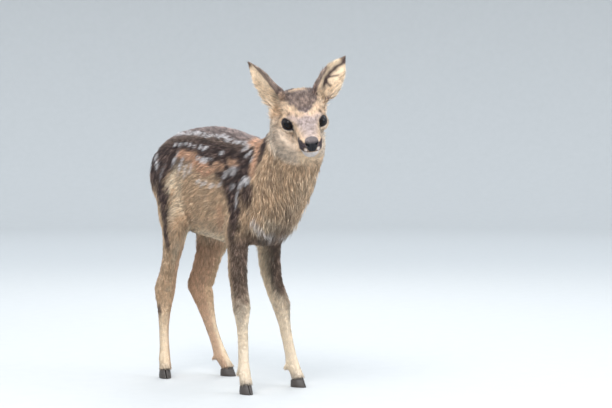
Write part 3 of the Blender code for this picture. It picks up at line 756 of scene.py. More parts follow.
def fromEyes(places):  # how far off the nearer eyeball
    return np.min([np.linalg.norm(places - eye, axis=1) for eye in eyePlaces.values()], axis=0) - eyeRadius


def finer(bm, wanted):  # splits the faces whose corners all pass, and evens them
    bm.verts.ensure_lookup_table()
    chosen = {bm.verts[i] for i in np.flatnonzero(wanted(np.array([v.co for v in bm.verts])))}
    edges = [e for v in chosen for e in v.link_edges if e.other_vert(v) in chosen]
    bmesh.ops.subdivide_edges(bm, edges=list(set(edges)), cuts=1, use_grid_fill=True)
    bm.verts.ensure_lookup_table()
    near = [bm.verts[i] for i in np.flatnonzero(wanted(np.array([v.co for v in bm.verts])))]
    evenOut(bm, near, 3)


def evenOut(bm, verts, turns):
    for _ in range(turns):
        bmesh.ops.smooth_vert(bm, verts=verts, factor=0.5, use_axis_x=True, use_axis_y=True, use_axis_z=True)


def setPlaces(mesh, places):
    mesh.vertices.foreach_set("co", places.astype(np.float32).ravel())
    mesh.update()


def skinDepth(places):
    depth = coatAt(places)[1] * smooth(0.003, 0.003 + coatDepth["eyeFade"], fromEyes(places))
    head, ear = headPlaces(places), earPlaces(places)
    depth = depth * (1 - 0.9 * smooth(0.050, 0.058, head[:, 0]) * onMuzzle(places, 0))
    earShare = (ear["side"] != 0) * smooth(0.0, 0.15, ear["along"])
    return depth * (1 - earShare) + coatDepth["ear"] * earShare


def drawIn(skin):
    places = placesOf(skin.data)
    setPlaces(skin.data, places - normalsOf(skin.data) * skinDepth(places)[:, None])


def sculptLids(skin):
    for turns in (12, 0):
        places = placesOf(skin.data)
        _, beyond, reach = lidShare(places)
        limit = eyeRadius + np.interp(beyond, lidSizes["beyond"], lidSizes["heights"])
        near = (beyond < lidSizes["beyond"][-1]) & (reach > limit)
        for side in hands:
            off = places - eyePlaces[side]
            mine = near & (np.linalg.norm(off, axis=1) < lidSizes["reach"])
            places[mine] = eyePlaces[side] + unit(off[mine]) * limit[mine, None]
        setPlaces(skin.data, places)
        if turns:
            soften(skin, (fromEyes(places) < 0.008) & (beyond > math.radians(9)), turns)


def soften(skin, chosen, turns):  # evens the chosen stretch of the skin
    bm = bmesh.new()
    bm.from_mesh(skin.data)
    bm.verts.ensure_lookup_table()
    evenOut(bm, [bm.verts[i] for i in np.flatnonzero(chosen)], turns)
    bm.to_mesh(skin.data)
    bm.free()


muzzle = {
    "pad": 0.0006,
    "mouthDepth": 0.0014,
    "mouthWidth": 0.0008,
    "mouthEnd": 0.036,
    "chinDrop": 0.0012,
    "lipRise": 0.0006,
    "noseStart": 0.055,
    "nostrilDepth": 0.0042,
    "slitDepth": 0.0018,
    "wingRise": 0.0006,
    "grooveDepth": 0.0008,
}


def mouthLevel(forward):
    return -0.0130 - 0.0060 * smooth(0.068, 0.040, forward)


def sculptMuzzle(skin):
    places, normals = placesOf(skin.data), normalsOf(skin.data)
    head = headPlaces(places)
    forward, left, up = head.T
    wide = np.abs(left)
    pad, onTip = nosePad(head), forward > muzzle["noseStart"]
    gap = up - mouthLevel(forward)
    reach = smooth(muzzle["mouthEnd"], muzzle["mouthEnd"] + 0.006, forward)
    move = muzzle["pad"] * pad
    move -= muzzle["mouthDepth"] * hill(gap, muzzle["mouthWidth"]) * reach
    move -= muzzle["chinDrop"] * smooth(0.0, -0.0025, gap) * smooth(-0.018, -0.006, gap) * reach
    move += muzzle["lipRise"] * hill(gap - 0.0025, 0.0018) * reach * (1 - pad)
    cup = np.hypot((wide - 0.0071) / 0.0022, (up + 0.0006 - 0.7 * (wide - 0.007)) / 0.0016)
    move -= muzzle["nostrilDepth"] * np.exp(-(cup**2.6)) * onTip
    slit = hill(up + 0.0022 - 0.9 * (wide - 0.0080), 0.0008) * smooth(0.007, 0.0085, wide)
    move -= muzzle["slitDepth"] * slit * smooth(0.0132, 0.0108, wide) * onTip
    move += muzzle["wingRise"] * hill(np.hypot(wide - 0.0072, (up - 0.0008) * 0.8) - 0.0040, 0.0011) * onTip
    groove = hill(wide, 0.0006) * smooth(0.001, -0.004, up) * smooth(-0.016, -0.013, up)
    move -= muzzle["grooveDepth"] * groove * onTip
    setPlaces(skin.data, places + normals * (move * onMuzzle(places, 0.02))[:, None])


def thinBody(skin):  # fewer faces where the coat hides the skin
    places = placesOf(skin.data)
    away = np.linalg.norm(places - headOrigin, axis=1)
    onBodyOnly = (away > skinSizes["headReach"]) & (earPlaces(places)["side"] == 0)
    kept = 1 - onBodyOnly.mean() + skinSizes["bodyFaces"] / (2 * len(skin.data.polygons))
    group = skin.vertex_groups.new(name="body")
    group.add(np.flatnonzero(onBodyOnly).tolist(), 1.0, "REPLACE")
    thin = skin.modifiers.new("Thin", "DECIMATE")
    thin.ratio, thin.vertex_group, thin.use_collapse_triangulate = kept, group.name, True
    applyModifiers(skin)
    skin.vertex_groups.clear()


def writeMarks(mesh, marks, strand, along):  # the colour attributes that the finishes of skin and coat read
    rows = {
        "marks": (marks["dark"], marks["rufous"], marks["cream"], marks["white"]),
        "shades": (marks["fleck"], marks["grey"], marks["lip"], marks["nose"]),
        "strands": (strand, along, 1.0, 1.0),
    }
    for name, columns in rows.items():
        layer = mesh.color_attributes.new(name, "FLOAT_COLOR", "POINT")
        values = np.stack([np.broadcast_to(c, len(mesh.vertices)) for c in columns], axis=1)
        layer.data.foreach_set("color", values.astype(np.float32).ravel())


# Node trees written as sums

class Sum:  # a number in a node tree
    def __init__(self, tree, socket):
        self.tree, self.socket = tree, socket

    def join(self, operation, first, second):
        made = self.tree.nodes.new("ShaderNodeMath")
        made.operation = operation
        for slot, value in zip(made.inputs, (first, second)):
            give(self.tree, slot, value)
        return Sum(self.tree, made.outputs[0])

    def __add__(self, other):
        return self.join("ADD", self, other)

    def __radd__(self, other):
        return self.join("ADD", other, self)

    def __sub__(self, other):
        return self.join("SUBTRACT", self, other)

    def __rsub__(self, other):
        return self.join("SUBTRACT", other, self)

    def __mul__(self, other):
        return self.join("MULTIPLY", self, other)

    def __rmul__(self, other):
        return self.join("MULTIPLY", other, self)

    def __pow__(self, other):
        return self.join("POWER", self, other)


def give(tree, slot, value):  # a link to the slot, or its own value
    if isinstance(value, Sum):
        value = value.socket
    if isinstance(value, bpy.types.NodeSocket):
        tree.links.new(value, slot)
    else:
        slot.default_value = value


class Finish:  # one material, with its Principled shader
    def __init__(self, name, **constants):
        self.material = bpy.data.materials.new(name)
        self.material.use_nodes = True
        self.tree = self.material.node_tree
        self.shader = self.tree.nodes["Principled BSDF"]
        for socket, value in constants.items():
            self.shader.inputs[socket.replace("_", " ")].default_value = value

    def node(self, kind, settings=None, numbered=None, **named):  # by number where sockets share a name
        made = self.tree.nodes.new("ShaderNode" + kind)
        for name, value in (settings or {}).items():
            setattr(made, name, value)
        for number, value in (numbered or {}).items():
            give(self.tree, made.inputs[number], value)
        for name, value in named.items():
            give(self.tree, made.inputs[name.replace("_", " ")], value)
        return made

    def number(self, socket):
        return Sum(self.tree, socket)

    def mix(self, first, second, factor, blend="MIX"):  # two colours
        settings = {"data_type": "RGBA", "blend_type": blend}
        return self.node("Mix", settings, {0: factor, 6: first, 7: second}).outputs[2]

    def feed(self, name, value):
        give(self.tree, self.shader.inputs[name], value)

    def noise(self, scale, detail=3.0, stretch=None):
        place = self.node("TexCoord").outputs["Object"]
        if stretch:
            place = self.node("Mapping", Vector=place, Scale=stretch).outputs[0]
        made = self.node("TexNoise", Vector=place, Scale=scale, Detail=detail)
        return self.number(made.outputs[0])


coatColours = {
    "straw": (0.740, 0.530, 0.350, 1),
    "dark": (0.055, 0.036, 0.034, 1),
    "saddle": (0.270, 0.180, 0.150, 1),
    "rufous": (0.780, 0.470, 0.310, 1),
    "cream": (0.960, 0.810, 0.610, 1),
    "white": (0.880, 0.850, 0.860, 1),
    "grey": (0.520, 0.440, 0.450, 1),
    "fleck": (0.150, 0.100, 0.085, 1),
    "lip": (0.050, 0.036, 0.048, 1),
    "nose": (0.010, 0.010, 0.013, 1),
    "root": (0.70, 0.64, 0.60, 1),
}


def coatColour(finish, strand, along):
    marks = finish.node("Attribute", {"attribute_name": "marks"})
    shades = finish.node("Attribute", {"attribute_name": "shades"})
    dark, rufous, cream = finish.node("SeparateColor", Color=marks.outputs["Color"]).outputs
    fleck, grey, lip = finish.node("SeparateColor", Color=shades.outputs["Color"]).outputs
    colour = finish.mix(coatColours["straw"], coatColours["cream"], cream)
    colour = finish.mix(colour, coatColours["grey"], finish.number(grey) * 0.85)
    pale = finish.node("MapRange", Value=strand, From_Min=0.55, From_Max=0.95).outputs[0]
    saddle = finish.mix(coatColours["dark"], coatColours["saddle"], pale)
    colour = finish.mix(colour, saddle, dark)
    colour = finish.mix(colour, coatColours["rufous"], rufous)
    ticked = finish.node("MapRange", Value=strand, From_Min=0.52, From_Max=0.36).outputs[0]
    colour = finish.mix(colour, coatColours["fleck"], finish.number(fleck) * finish.number(ticked))
    colour = finish.mix(colour, coatColours["white"], marks.outputs["Alpha"])
    colour = finish.mix(colour, coatColours["lip"], lip)
    colour = finish.mix(colour, coatColours["nose"], shades.outputs["Alpha"])
    shade = 0.66 + strand * 0.66
    tone = finish.node("CombineColor", Red=shade, Green=shade, Blue=shade).outputs[0]
    colour = finish.mix(colour, tone, 1.0, "MULTIPLY")
    # darker towards the roots: partly the hair's own banding, partly painted shade deep in the coat
    return finish.mix(finish.mix(colour, coatColours["root"], 0.75, "MULTIPLY"), colour, along)


def coatFinish():
    finish = Finish("coat", Specular_IOR_Level=0.35, Sheen_Weight=0.0)
    strands = finish.node("Attribute", {"attribute_name": "strands"})
    strand, along, _ = finish.node("SeparateColor", Color=strands.outputs["Color"]).outputs
    finish.feed("Base Color", coatColour(finish, finish.number(strand), finish.number(along) ** 0.7))
    finish.feed("Roughness", 0.62 - finish.number(strand) * 0.14)
    return finish.material


def skinFinish():
    finish = Finish("skin", Specular_IOR_Level=0.16)
    hairs = finish.noise(900.0, 2.0)
    soft = finish.noise(140.0, 4.0)
    nose = finish.number(finish.node("Attribute", {"attribute_name": "shades"}).outputs["Alpha"]) ** 2
    strand = hairs * 0.7 + soft * 0.3
    finish.feed("Base Color", coatColour(finish, strand, soft * 0.6 + 0.1 + nose * 0.6))
    finish.feed("Roughness", 0.75 - nose * 0.45)
    finish.feed("Coat Weight", nose * 0.16)
    pebbles = finish.node("TexVoronoi", Vector=finish.node("TexCoord").outputs["Object"], Scale=1500.0)
    relief = hairs * (1 - nose) + finish.number(pebbles.outputs[0]) * nose * 0.8
    bump = finish.node("Bump", Height=relief, Strength=0.5, Distance=0.0004)
    finish.feed("Normal", bump.outputs[0])
    return finish.material


# The coat: tufts rooted on the skin, in joined pieces

coatSizes = {
    "fineCover": 3.9,
    "lockCover": 1.1,
    "unwrapAngle": math.radians(66),
    "patch": 0.0030,
    "sink": 0.0004,
    "trunkSplits": (0.24, 0.48, 0.74),
    "gather": 0.65,
    "clumpShare": 0.14,
    "shown": 0.6,
    "width": 0.00024,
    "widthShare": 0.030,
    "lockWider": 1.3,
    "sway": 0.55,
    "scatter": 0.09,
    "strayLength": (0.65, 1.2),
    "strayRise": (0.55, 1.20),
    "strayWidth": (0.75, 1.25),
}
coatPieces = {  # which skin each piece grows from
    "coat_head": ("head",),
    "coat_ears": ("ear_left", "ear_right"),
    "coat_neck_left": ("neck",),
    "coat_neck_right": ("neck",),
    "coat_trunk_1": ("trunk",),
    "coat_trunk_2": ("trunk",),
    "coat_trunk_3": ("trunk",),
    "coat_trunk_4": ("trunk", "tail"),
    "coat_foreleg_left": ("foreleg_left_upper", "foreleg_left_lower"),
    "coat_foreleg_right": ("foreleg_right_upper", "foreleg_right_lower"),
    "coat_hindleg_left": ("hindleg_left_upper", "hindleg_left_lower"),
    "coat_hindleg_right": ("hindleg_right_upper", "hindleg_right_lower"),
}


def skinRegions(middles):  # the coat piece that each skin face belongs to
    corners, faces, owners = [], [], []
    for name in fleshNames():
        mesh = nodes[name].data
        start = len(corners)
        corners += [v.co.copy() for v in mesh.vertices]
        faces += [[start + i for i in p.vertices] for p in mesh.polygons]
        owners += [name] * len(mesh.polygons)
    tree = BVHTree.FromPolygons(corners, faces)
    near = np.array([owners[tree.find_nearest(Vector(m))[2]] for m in middles])
    side, back, _ = bodyPlaces(middles)
    region = np.empty(len(middles), dtype="U24")
    for piece, members in coatPieces.items():
        mine = np.isin(near, members)
        if piece.startswith("coat_neck"):
            mine &= (side > 0) == piece.endswith("left")
        if "trunk" in members:
            mine &= np.digitize(back, coatSizes["trunkSplits"]) == int(piece[-1]) - 1
            mine |= np.isin(near, [m for m in members if m != "trunk"])
        region[mine] = piece
    return region


def unwrap(skin, chosen):  # lays the chosen faces out over the whole map, and returns each corner's place
    mesh = skin.data
    mesh.polygons.foreach_set("select", chosen)
    mesh.vertices.foreach_set("select", np.zeros(len(mesh.vertices), bool))
    mesh.edges.foreach_set("select", np.zeros(len(mesh.edges), bool))
    bpy.context.view_layer.objects.active = skin
    bpy.ops.object.mode_set(mode="EDIT")
    bpy.ops.uv.smart_project(angle_limit=coatSizes["unwrapAngle"], island_margin=0.002)
    bpy.ops.object.mode_set(mode="OBJECT")
    found = np.empty(len(mesh.loops) * 2)
    mesh.uv_layers.active.uv.foreach_get("vector", found)
    return found.reshape(-1, 3, 2)


def earLie(places, normals, lie):  # on the ears the hair runs to the tip and fans out
    share, inner = np.zeros(len(places)), np.zeros(len(places))
    where = earPlaces(places)
    for side, hand in hands.items():
        mine, ear = where["side"] == hand, ears[side]
        fan = np.sign(where["across"]) * np.minimum(np.abs(where["across"]) / 0.02, 1)
        hollow = smooth(0.0, 0.3, normals @ ear["facing"])
        way = ear["along"] + np.outer(fan * (0.15 + 0.25 * hollow), ear["across"])
        way = way + np.outer(hollow * 0.15, ear["facing"])
        part = mine * smooth(0.0, 0.12, where["along"])
        lie = np.where(mine[:, None], lie * (1 - part[:, None]) + way * part[:, None], lie)
        share, inner = np.where(mine, part, share), np.where(mine, hollow, inner)
    return lie, share, inner, where


cheekFluff = {"place": (-0.045, 0.041, 0.004), "reach": 0.020, "more": 0.0045}


def tuftFacts(places, normals):  # what grows at each root
    lie, depth, length = coatAt(places)
    lie, earShare, hollow, where = earLie(places, normals, lie)
    margin = smooth(0.007, 0.014, np.abs(where["across"])) * (1 - smooth(0.55, 0.85, where["along"]))
    earLength = 0.0042 + 0.0045 * margin * smooth(-0.2, 0.2, hollow)
    length = length * (1 - earShare) + earLength * earShare
    depth = depth * (1 - earShare) + (0.0007 + 0.0008 * margin * hollow) * earShare
    for side in hands:
        off = places - eyePlaces[side]
        far = np.linalg.norm(off, axis=1) - eyeRadius
        near = hill(far, 0.006)[:, None]
        lie = lie + unit(off) * 1.5 * near
        length = length * (1 - 0.45 * near[:, 0])
    head = headPlaces(places)
    onLids = (lidShare(places)[0] < lidSizes["bare"]) & (fromEyes(places) < lidSizes["margin"])
    bald = np.maximum(nosePad(head) > 0.25, onLids)
    for hand in (-1, 1):
        off = (head - np.array(cheekFluff["place"]) * (1, hand, 1)) / cheekFluff["reach"]
        fluff = np.exp(-(off**2).sum(1))
        depth = depth + cheekFluff["more"] * fluff
        length = length + cheekFluff["more"] * fluff
    return lie, depth, length, bald


def growPiece(name, shape, chosen, material):
    places, normals, chart = shape["corners"][chosen], shape["normals"][chosen], shape["map"][chosen]
    middles, middleNormals = places.mean(1), unit(normals.mean(1))
    size = np.linalg.norm(np.cross(places[:, 1] - places[:, 0], places[:, 2] - places[:, 0]), axis=1) / 2
    _, _, length, bald = tuftFacts(middles, middleNormals)
    parts = []
    for bends, coverage in ((0, coatSizes["fineCover"]), (1, coatSizes["lockCover"])):
        across = tuftWidth(length, bends)
        rate = coverage * (1 - bald) / (length * across)
        if bends:
            rate *= smooth(0.0045, 0.0090, length)
        roots = rootsOn(size * rate)
        blend = chance.dirichlet((1, 1, 1), len(roots))[..., None]
        spots, ups = (places[roots] * blend).sum(1), unit((normals[roots] * blend).sum(1))
        parts.append(tufts(spots, ups, (chart[roots] * blend).sum(1), bends))
    return coatObject(name, parts, material)


def rootsOn(amounts):  # faces picked evenly by amount
    edges = np.cumsum(amounts)
    count = int(edges[-1])
    aims = (np.arange(count) + chance.random(count)) * edges[-1] / count
    return np.searchsorted(edges, aims).clip(0, len(edges) - 1)


def tuftWidth(length, bends):
    width = coatSizes["width"] + coatSizes["widthShare"] * length
    return width * (coatSizes["lockWider"] if bends else 1.0)


def tufts(roots, ups, chart, bends):
    lie, depth, length, _ = tuftFacts(roots, ups)
    count = len(roots)
    sway = np.stack([cloud(roots + k, 0.012) - 0.5 for k in (0.0, 3.1, 7.7)], axis=1)
    lie = unit(lie) + coatSizes["sway"] * sway + chance.normal(0, coatSizes["scatter"], (count, 3))
    lie = unit(lie - ups * (lie * ups).sum(1, keepdims=True))
    across = np.cross(ups, lie)
    length = length * chance.uniform(*coatSizes["strayLength"], count) * (1.12 if bends else 0.95)
    clump = 0.75 + 0.6 * cloud(roots, 0.009)
    depth = depth * (1 + 0.35 * smooth(0.0060, 0.0078, depth))
    rise = depth * clump * chance.uniform(*coatSizes["strayRise"], count) * (1.10 if bends else 0.85)
    rise = np.clip(rise, 0, length * 0.85)
    lift = np.arcsin(rise / length)
    width = tuftWidth(length, bends) * chance.uniform(*coatSizes["strayWidth"], count)
    base = roots - ups * coatSizes["sink"]

    def along(share, bow):  # a point up the tuft, bowed towards the skin at its end
        out = np.sin(lift * bow)[:, None] * ups + np.cos(lift * bow)[:, None] * lie
        return base + out * (length * share)[:, None]

    def ring(centre, share):
        half = (width * share / 2)[:, None]
        return [centre + across * half, centre - across * half, centre + ups * half * 1.2]

    pull = np.zeros((count, 3)) if bends else clumpPull(roots)
    tip = along(1.0, 1.0) + pull * coatSizes["gather"]
    if bends:
        tip = tip - ups * (rise * 0.18)[:, None]
        points = ring(base, 0.75) + ring(along(0.5, 1.35), 1.0) + [tip]
    else:
        points = ring(base, 1.0) + [tip]
    shown = along(coatSizes["shown"], 1.0)
    points = np.stack(points, axis=1)
    facts = {"points": points, "shown": shown, "clump": roots + pull}
    return {**facts, "ups": ups, "map": chart, "bends": bends}


def clumpPull(roots):  # from each root to the middle of its clump
    centres = roots[chance.random(len(roots)) < coatSizes["clumpShare"]]
    tree = KDTree(len(centres))
    for i, centre in enumerate(centres):
        tree.insert(centre, i)
    tree.balance()
    near = [tree.find(root)[1] for root in roots]
    return centres[near] - roots


tuftFaces = {  # corner numbers by how often the tuft bends: a base, then sides up to the tip
    0: [(0, 1, 2), (0, 2, 3), (2, 1, 3), (1, 0, 3)],
    1: [(0, 1, 2), (0, 2, 5), (0, 5, 3), (2, 1, 4), (2, 4, 5), (1, 0, 3), (1, 3, 4)]
    + [(3, 5, 6), (5, 4, 6), (4, 3, 6)],
}
tuftClimbs = {0: (0, 0, 0.15, 1), 1: (0, 0, 0.1, 0.5, 0.5, 0.6, 1)}  # how pale each corner is, tip last; the darker roots are partly the hair's banding, partly painted shade deep in the coat
ringTurns = np.radians((210, 330, 90))  # where a ring's corners lie about its root on the map


def mapPatch(chart, bends):  # each tuft's own small patch, seen from its tip, with the base laid beside it
    half = coatSizes["patch"] / 2
    ring = np.stack((np.cos(ringTurns), np.sin(ringTurns)), axis=1)
    shares = [ring * half, ring * half * 0.5, np.zeros((1, 2))] if bends else [ring * half, np.zeros((1, 2))]
    spread = chart[:, None] + np.concatenate(shares)[None]
    faces = np.array(tuftFaces[bends])
    loops = spread[:, faces]
    loops[:, 0] = chart[:, None] + ring[None] * half * 0.25 + (half, -half)
    return np.clip(loops, 0, 1)


def coatObject(name, parts, material):
    starts, corners, loops, maps, facts = 0, [], [], [], []
    for part in parts:
        count, each, _ = part["points"].shape
        faces = np.array(tuftFaces[part["bends"]])
        corners.append(part["points"].reshape(-1, 3))
        loops.append((starts + np.arange(count)[:, None, None] * each + faces[None]).ravel())
        maps.append(mapPatch(part["map"], part["bends"]).reshape(-1, 2))
        marks = marksAt(part["shown"], part["ups"])
        strand = 0.6 * (chance.random(count) - 0.5) + 1.1 * (cloud(part["clump"], 0.0035) - 0.5)
        calm = 0.40 + 0.60 * smooth(0.10, 0.45, bodyPlaces(part["shown"])[2])
        strand = np.clip(0.5 + (1 - calm) * 0.35 + strand * calm, 0, 1)
        marks = {key: np.repeat(value, each) for key, value in marks.items()}
        facts.append((marks, np.repeat(strand, each), np.tile(tuftClimbs[part["bends"]], count)))
        starts += count * each
    corners, loops = np.concatenate(corners), np.concatenate(loops)
    mesh = bpy.data.meshes.new(name)
    mesh.vertices.add(len(corners))
    mesh.vertices.foreach_set("co", corners.astype(np.float32).ravel())
    mesh.loops.add(len(loops))
    mesh.loops.foreach_set("vertex_index", loops.astype(np.int32))
    mesh.polygons.add(len(loops) // 3)
    mesh.polygons.foreach_set("loop_start", np.arange(0, len(loops), 3, dtype=np.int32))
    mesh.update()
    layer = mesh.uv_layers.new(name="OFBake")
    layer.uv.foreach_set("vector", np.concatenate(maps).astype(np.float32).ravel())
    marks, strands, climbs = zip(*facts)
    marks = {key: np.concatenate([part[key] for part in marks]) for key in marks[0]}
    writeMarks(mesh, marks, np.concatenate(strands), np.concatenate(climbs))
    mesh.shade_smooth()
    mesh.materials.append(material)
    made = show(name, mesh)
    print(name, [len(part["shown"]) for part in parts], "tufts,", len(mesh.polygons), "faces")
    return made


def growCoat(skin):
    mesh = skin.data
    faces = np.empty(len(mesh.polygons) * 3, int)
    mesh.polygons.foreach_get("vertices", faces)
    faces = faces.reshape(-1, 3)
    places, normals = placesOf(mesh), normalsOf(mesh)
    region = skinRegions(places[faces].mean(1))
    material = coatFinish()
    mesh.uv_layers.new(name="unwrap")
    for name in coatPieces:
        chosen = region == name
        shape = {"corners": places[faces], "normals": normals[faces], "map": unwrap(skin, chosen)}
        piece = growPiece(name, shape, chosen, material)
        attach(piece, "root")
    mesh.uv_layers.remove(mesh.uv_layers["unwrap"])
    growLashes(material)


lashSizes = {
    "count": 26,
    "length": 0.0062,
    "width": 0.00045,
    "from": math.radians(35),
    "to": math.radians(150),
    "past": math.radians(4),
}


def growLashes(material):
    roots, ways = [], []
    for side in hands:
        out, corner, up = gazeFrame(side)
        for i in range(lashSizes["count"]):
            turn = lashSizes["from"] + (lashSizes["to"] - lashSizes["from"]) * (i + 0.5) / lashSizes["count"]
            opening = float(lidOpening(math.cos(turn), math.sin(turn))) + lashSizes["past"]
            ring = corner * math.cos(turn) + up * math.sin(turn)
            way = out * math.cos(opening) + ring * math.sin(opening)
            roots.append(eyePlaces[side] + way * (eyeRadius + 0.0008))
            ways.append(out * 0.5 + ring * 0.9 + chance.normal(0, 0.12, 3))
    roots, ways = np.array(roots), unit(np.array(ways))
    across = unit(np.cross(ways, chance.normal(0, 1, ways.shape)))
    third = np.cross(ways, across)
    half = lashSizes["width"] / 2
    length = (lashSizes["length"] * chance.uniform(0.6, 1.1, len(roots)))[:, None]
    points = [roots + across * half, roots - across * half, roots + third * half, roots + ways * length]
    chart = np.stack((np.linspace(0.05, 0.95, len(roots)), np.full(len(roots), 0.5)), axis=1)
    facts = {"points": np.stack(points, axis=1), "shown": roots, "clump": roots}
    lashes = coatObject("lashes", [{**facts, "ups": ways, "map": chart, "bends": 0}], material)
    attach(lashes, "root")


# Eyes

eyeSizes = {
    "segments": 48,
    "rings": 32,
    "cornea": 0.035,
    "corneaReach": math.radians(48),
    "pupil": (0.55, 0.30),
}
eyeColours = {
    "pupil": (0.004, 0.004, 0.006, 1),
    "iris": (0.005, 0.003, 0.003, 1),
    "ray": (0.011, 0.006, 0.004, 1),
    "rim": (0.006, 0.005, 0.006, 1),
}


def makeEye(side, material):
    out, corner, up = gazeFrame(side)
    bm = bmesh.new()
    turn = Matrix((corner, up, out)).transposed().to_4x4()
    bmesh.ops.create_uvsphere(
        bm, u_segments=eyeSizes["segments"], v_segments=eyeSizes["rings"], radius=eyeRadius, matrix=turn
    )
    places = np.array([v.co for v in bm.verts])
    facing = unit(places) @ out
    for vert, share in zip(bm.verts, smooth(math.cos(eyeSizes["corneaReach"]), 1.0, facing)):
        vert.co *= 1 + eyeSizes["cornea"] * share
    bmesh.ops.translate(bm, verts=bm.verts, vec=eyeMiddles[side])
    eye = objectFrom(bm, "eyeball_" + side)
    layer = eye.data.color_attributes.new("gaze", "FLOAT_COLOR", "POINT")
    turned = unit(places) @ np.array((corner, up, out)).T
    values = np.column_stack((turned * 0.5 + 0.5, np.ones(len(turned))))
    layer.data.foreach_set("color", values.astype(np.float32).ravel())
    eye.data.shade_smooth()
    eye.data.materials.append(material)
    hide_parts("eye_" + side)
    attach(eye, "root")


def eyeFinish():
    finish = Finish("eye", Roughness=0.20, Coat_Weight=0.22, Coat_Roughness=0.02, Specular_IOR_Level=0.05)
    gaze = finish.node("Attribute", {"attribute_name": "gaze"})
    shares = finish.node("SeparateColor", Color=gaze.outputs[0]).outputs
    across, up, out = (finish.number(share) for share in shares)
    wide, tall = (across - 0.5) * (2 / eyeSizes["pupil"][0]), (up - 0.5) * (2 / eyeSizes["pupil"][1])
    oval = (wide * wide + tall * tall) ** 0.5
    soft = {"interpolation_type": "SMOOTHSTEP"}
    pupil = finish.node("MapRange", soft, Value=oval, From_Min=0.85, From_Max=1.05)
    edge = finish.node("MapRange", soft, Value=out, From_Min=0.84, From_Max=0.90)
    iris = finish.mix(eyeColours["iris"], eyeColours["ray"], finish.noise(1400.0, 3.0))
    colour = finish.mix(eyeColours["rim"], iris, edge.outputs[0])
    finish.feed("Base Color", finish.mix(eyeColours["pupil"], colour, pupil.outputs[0]))
    return finish.material


# Claws

clawSizes = {
    "round": 0.0011,
    "segments": 3,
    "slope": 0.45,
    "flat": math.radians(4),
    "sharp": math.radians(35),
}
clawColours = {"dark": (0.018, 0.014, 0.013, 1), "pale": (0.085, 0.068, 0.058, 1)}


def makeClaw(name, material):
    bm = bmesh.new()
    bm.from_mesh(nodes[name].data)
    bmesh.ops.remove_doubles(bm, verts=bm.verts, dist=1e-6)
    bmesh.ops.dissolve_limit(bm, angle_limit=clawSizes["flat"], verts=bm.verts, edges=bm.edges)
    low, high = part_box(name)
    for vert in bm.verts:  # the toe's wall leans back towards the coronet
        ahead = (high.y - vert.co.y) / (high.y - low.y)
        vert.co.y += clawSizes["slope"] * (vert.co.z - low.z) * ahead**2
    sharp = [e for e in bm.edges if e.is_manifold and e.calc_face_angle() > clawSizes["sharp"]]
    bmesh.ops.bevel(
        bm, geom=sharp, offset=clawSizes["round"], affect="EDGES", segments=clawSizes["segments"],
        profile=0.5, material=-1, clamp_overlap=True,
    )
    hoof = objectFrom(bm, "hoof" + name[4:])
    hoof.data.shade_smooth()
    hoof.data.materials.append(material)
    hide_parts(name)
    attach(hoof, "root")


def hornFinish():
    finish = Finish("horn", Specular_IOR_Level=0.45)
    rings = finish.noise(260.0, 3.0, (0.25, 0.25, 3.0))
    grain = finish.noise(900.0, 2.0, (1.0, 1.0, 0.2))
    tone = rings * 0.7 + grain * 0.3
    finish.feed("Base Color", finish.mix(clawColours["dark"], clawColours["pale"], tone))
    finish.feed("Roughness", 0.34 + grain * 0.22)
    bump = finish.node("Bump", Height=tone, Strength=0.4, Distance=0.0003)
    finish.feed("Normal", bump.outputs[0])
    return finish.material


# Floor, light and camera

studio = {
    "floorRadius": 6.0,
    "bend": 1.5,
    "wall": 2.6,
    "paint": (0.46, 0.46, 0.455, 1),
    "paintSpeck": (0.43, 0.43, 0.425, 1),
    "sky": (0.84, 0.92, 1.0, 1),
    "skyStrength": 1.9,
}
lights = {  # place, size, power and colour
    "key": ((-1.3, -1.2, 2.1), 1.2, 44.0, (1.0, 0.98, 0.95)),
    "fill": ((1.6, -2.0, 1.0), 1.6, 30.0, (0.92, 0.96, 1.0)),
    "back": ((1.2, 1.6, 1.9), 1.0, 16.0, (1.0, 0.97, 0.92)),
}
lens = {"place": (-1.5963, -2.5249, 0.4052), "ahead": (0.56378, 0.82534, -0.03102), "length": 102.35}


def softLight(name, place, size, power, colour):
    light = bpy.data.lights.new(name, "AREA")
    light.shape, light.size, light.energy, light.color = "DISK", size, power, colour
    lamp = show(name, light)
    lamp.location = place
    lamp.rotation_euler = (Vector((0, 0, 0.3)) - Vector(place)).to_track_quat("-Z", "Y").to_euler()


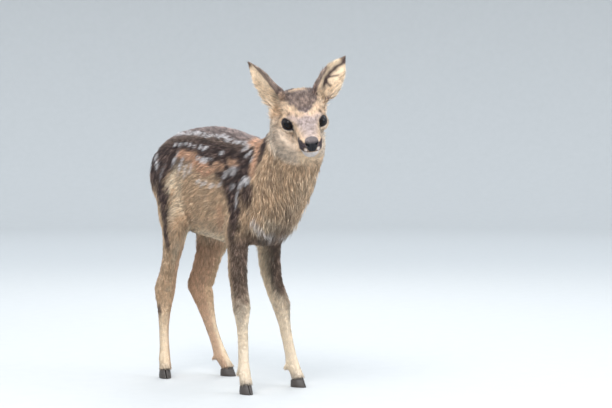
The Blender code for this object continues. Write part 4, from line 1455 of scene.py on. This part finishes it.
def makeStudio():
    bm = bmesh.new()
    flat, bend = studio["floorRadius"], studio["bend"]
    turns = [math.pi / 2 * i / 12 for i in range(13)]
    profile = [(0, 0), (1.0, 0)] + [(flat + bend * math.sin(t), bend * (1 - math.cos(t))) for t in turns]
    profile.append((flat + bend, studio["wall"]))
    verts = [bm.verts.new((x, 0, z)) for x, z in profile]
    edges = [bm.edges.new(pair) for pair in zip(verts, verts[1:])]
    bmesh.ops.spin(
        bm, geom=verts + edges, axis=(0, 0, 1), cent=(0, 0, 0), angle=2 * math.pi, steps=96, use_merge=True
    )
    bmesh.ops.remove_doubles(bm, verts=bm.verts, dist=1e-5)
    bmesh.ops.recalc_face_normals(bm, faces=bm.faces)
    floor = objectFrom(bm, "floor")
    floor.data.shade_smooth()
    paint = Finish("floorPaint", Roughness=0.85)
    paint.feed("Base Color", paint.mix(studio["paint"], studio["paintSpeck"], paint.noise(30.0, 4.0)))
    floor.data.materials.append(paint.material)
    world = bpy.data.worlds.new("studio")
    bpy.context.scene.world = world
    world.use_nodes = True
    sky = world.node_tree.nodes["Background"]
    sky.inputs["Color"].default_value = studio["sky"]
    sky.inputs["Strength"].default_value = studio["skyStrength"]
    for name, facts in lights.items():
        softLight(name, *facts)
    camera = bpy.data.cameras.new("camera")
    camera.lens, camera.sensor_width = lens["length"], 36
    view = show("camera", camera)
    view.location = lens["place"]
    view.rotation_euler = Vector(lens["ahead"]).to_track_quat("-Z", "Y").to_euler()
    bpy.context.scene.camera = view
    bpy.context.scene.view_settings.view_transform = "Standard"


makeStudio()
print("studio ready")
skin = makeSkin()
growCoat(skin)
places, normals = placesOf(skin.data), normalsOf(skin.data)
writeMarks(skin.data, marksAt(places, normals), 0.5, 0.5)
skin.data.materials.append(skinFinish())
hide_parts(*fleshNames())
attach(skin, "root")
print("coat grown")
eyeMaterial = eyeFinish()
for side in hands:
    makeEye(side, eyeMaterial)
hornMaterial = hornFinish()
for name in [n for n in nodes if n.startswith("claw")]:
    makeClaw(name, hornMaterial)
print("eyes and claws made")
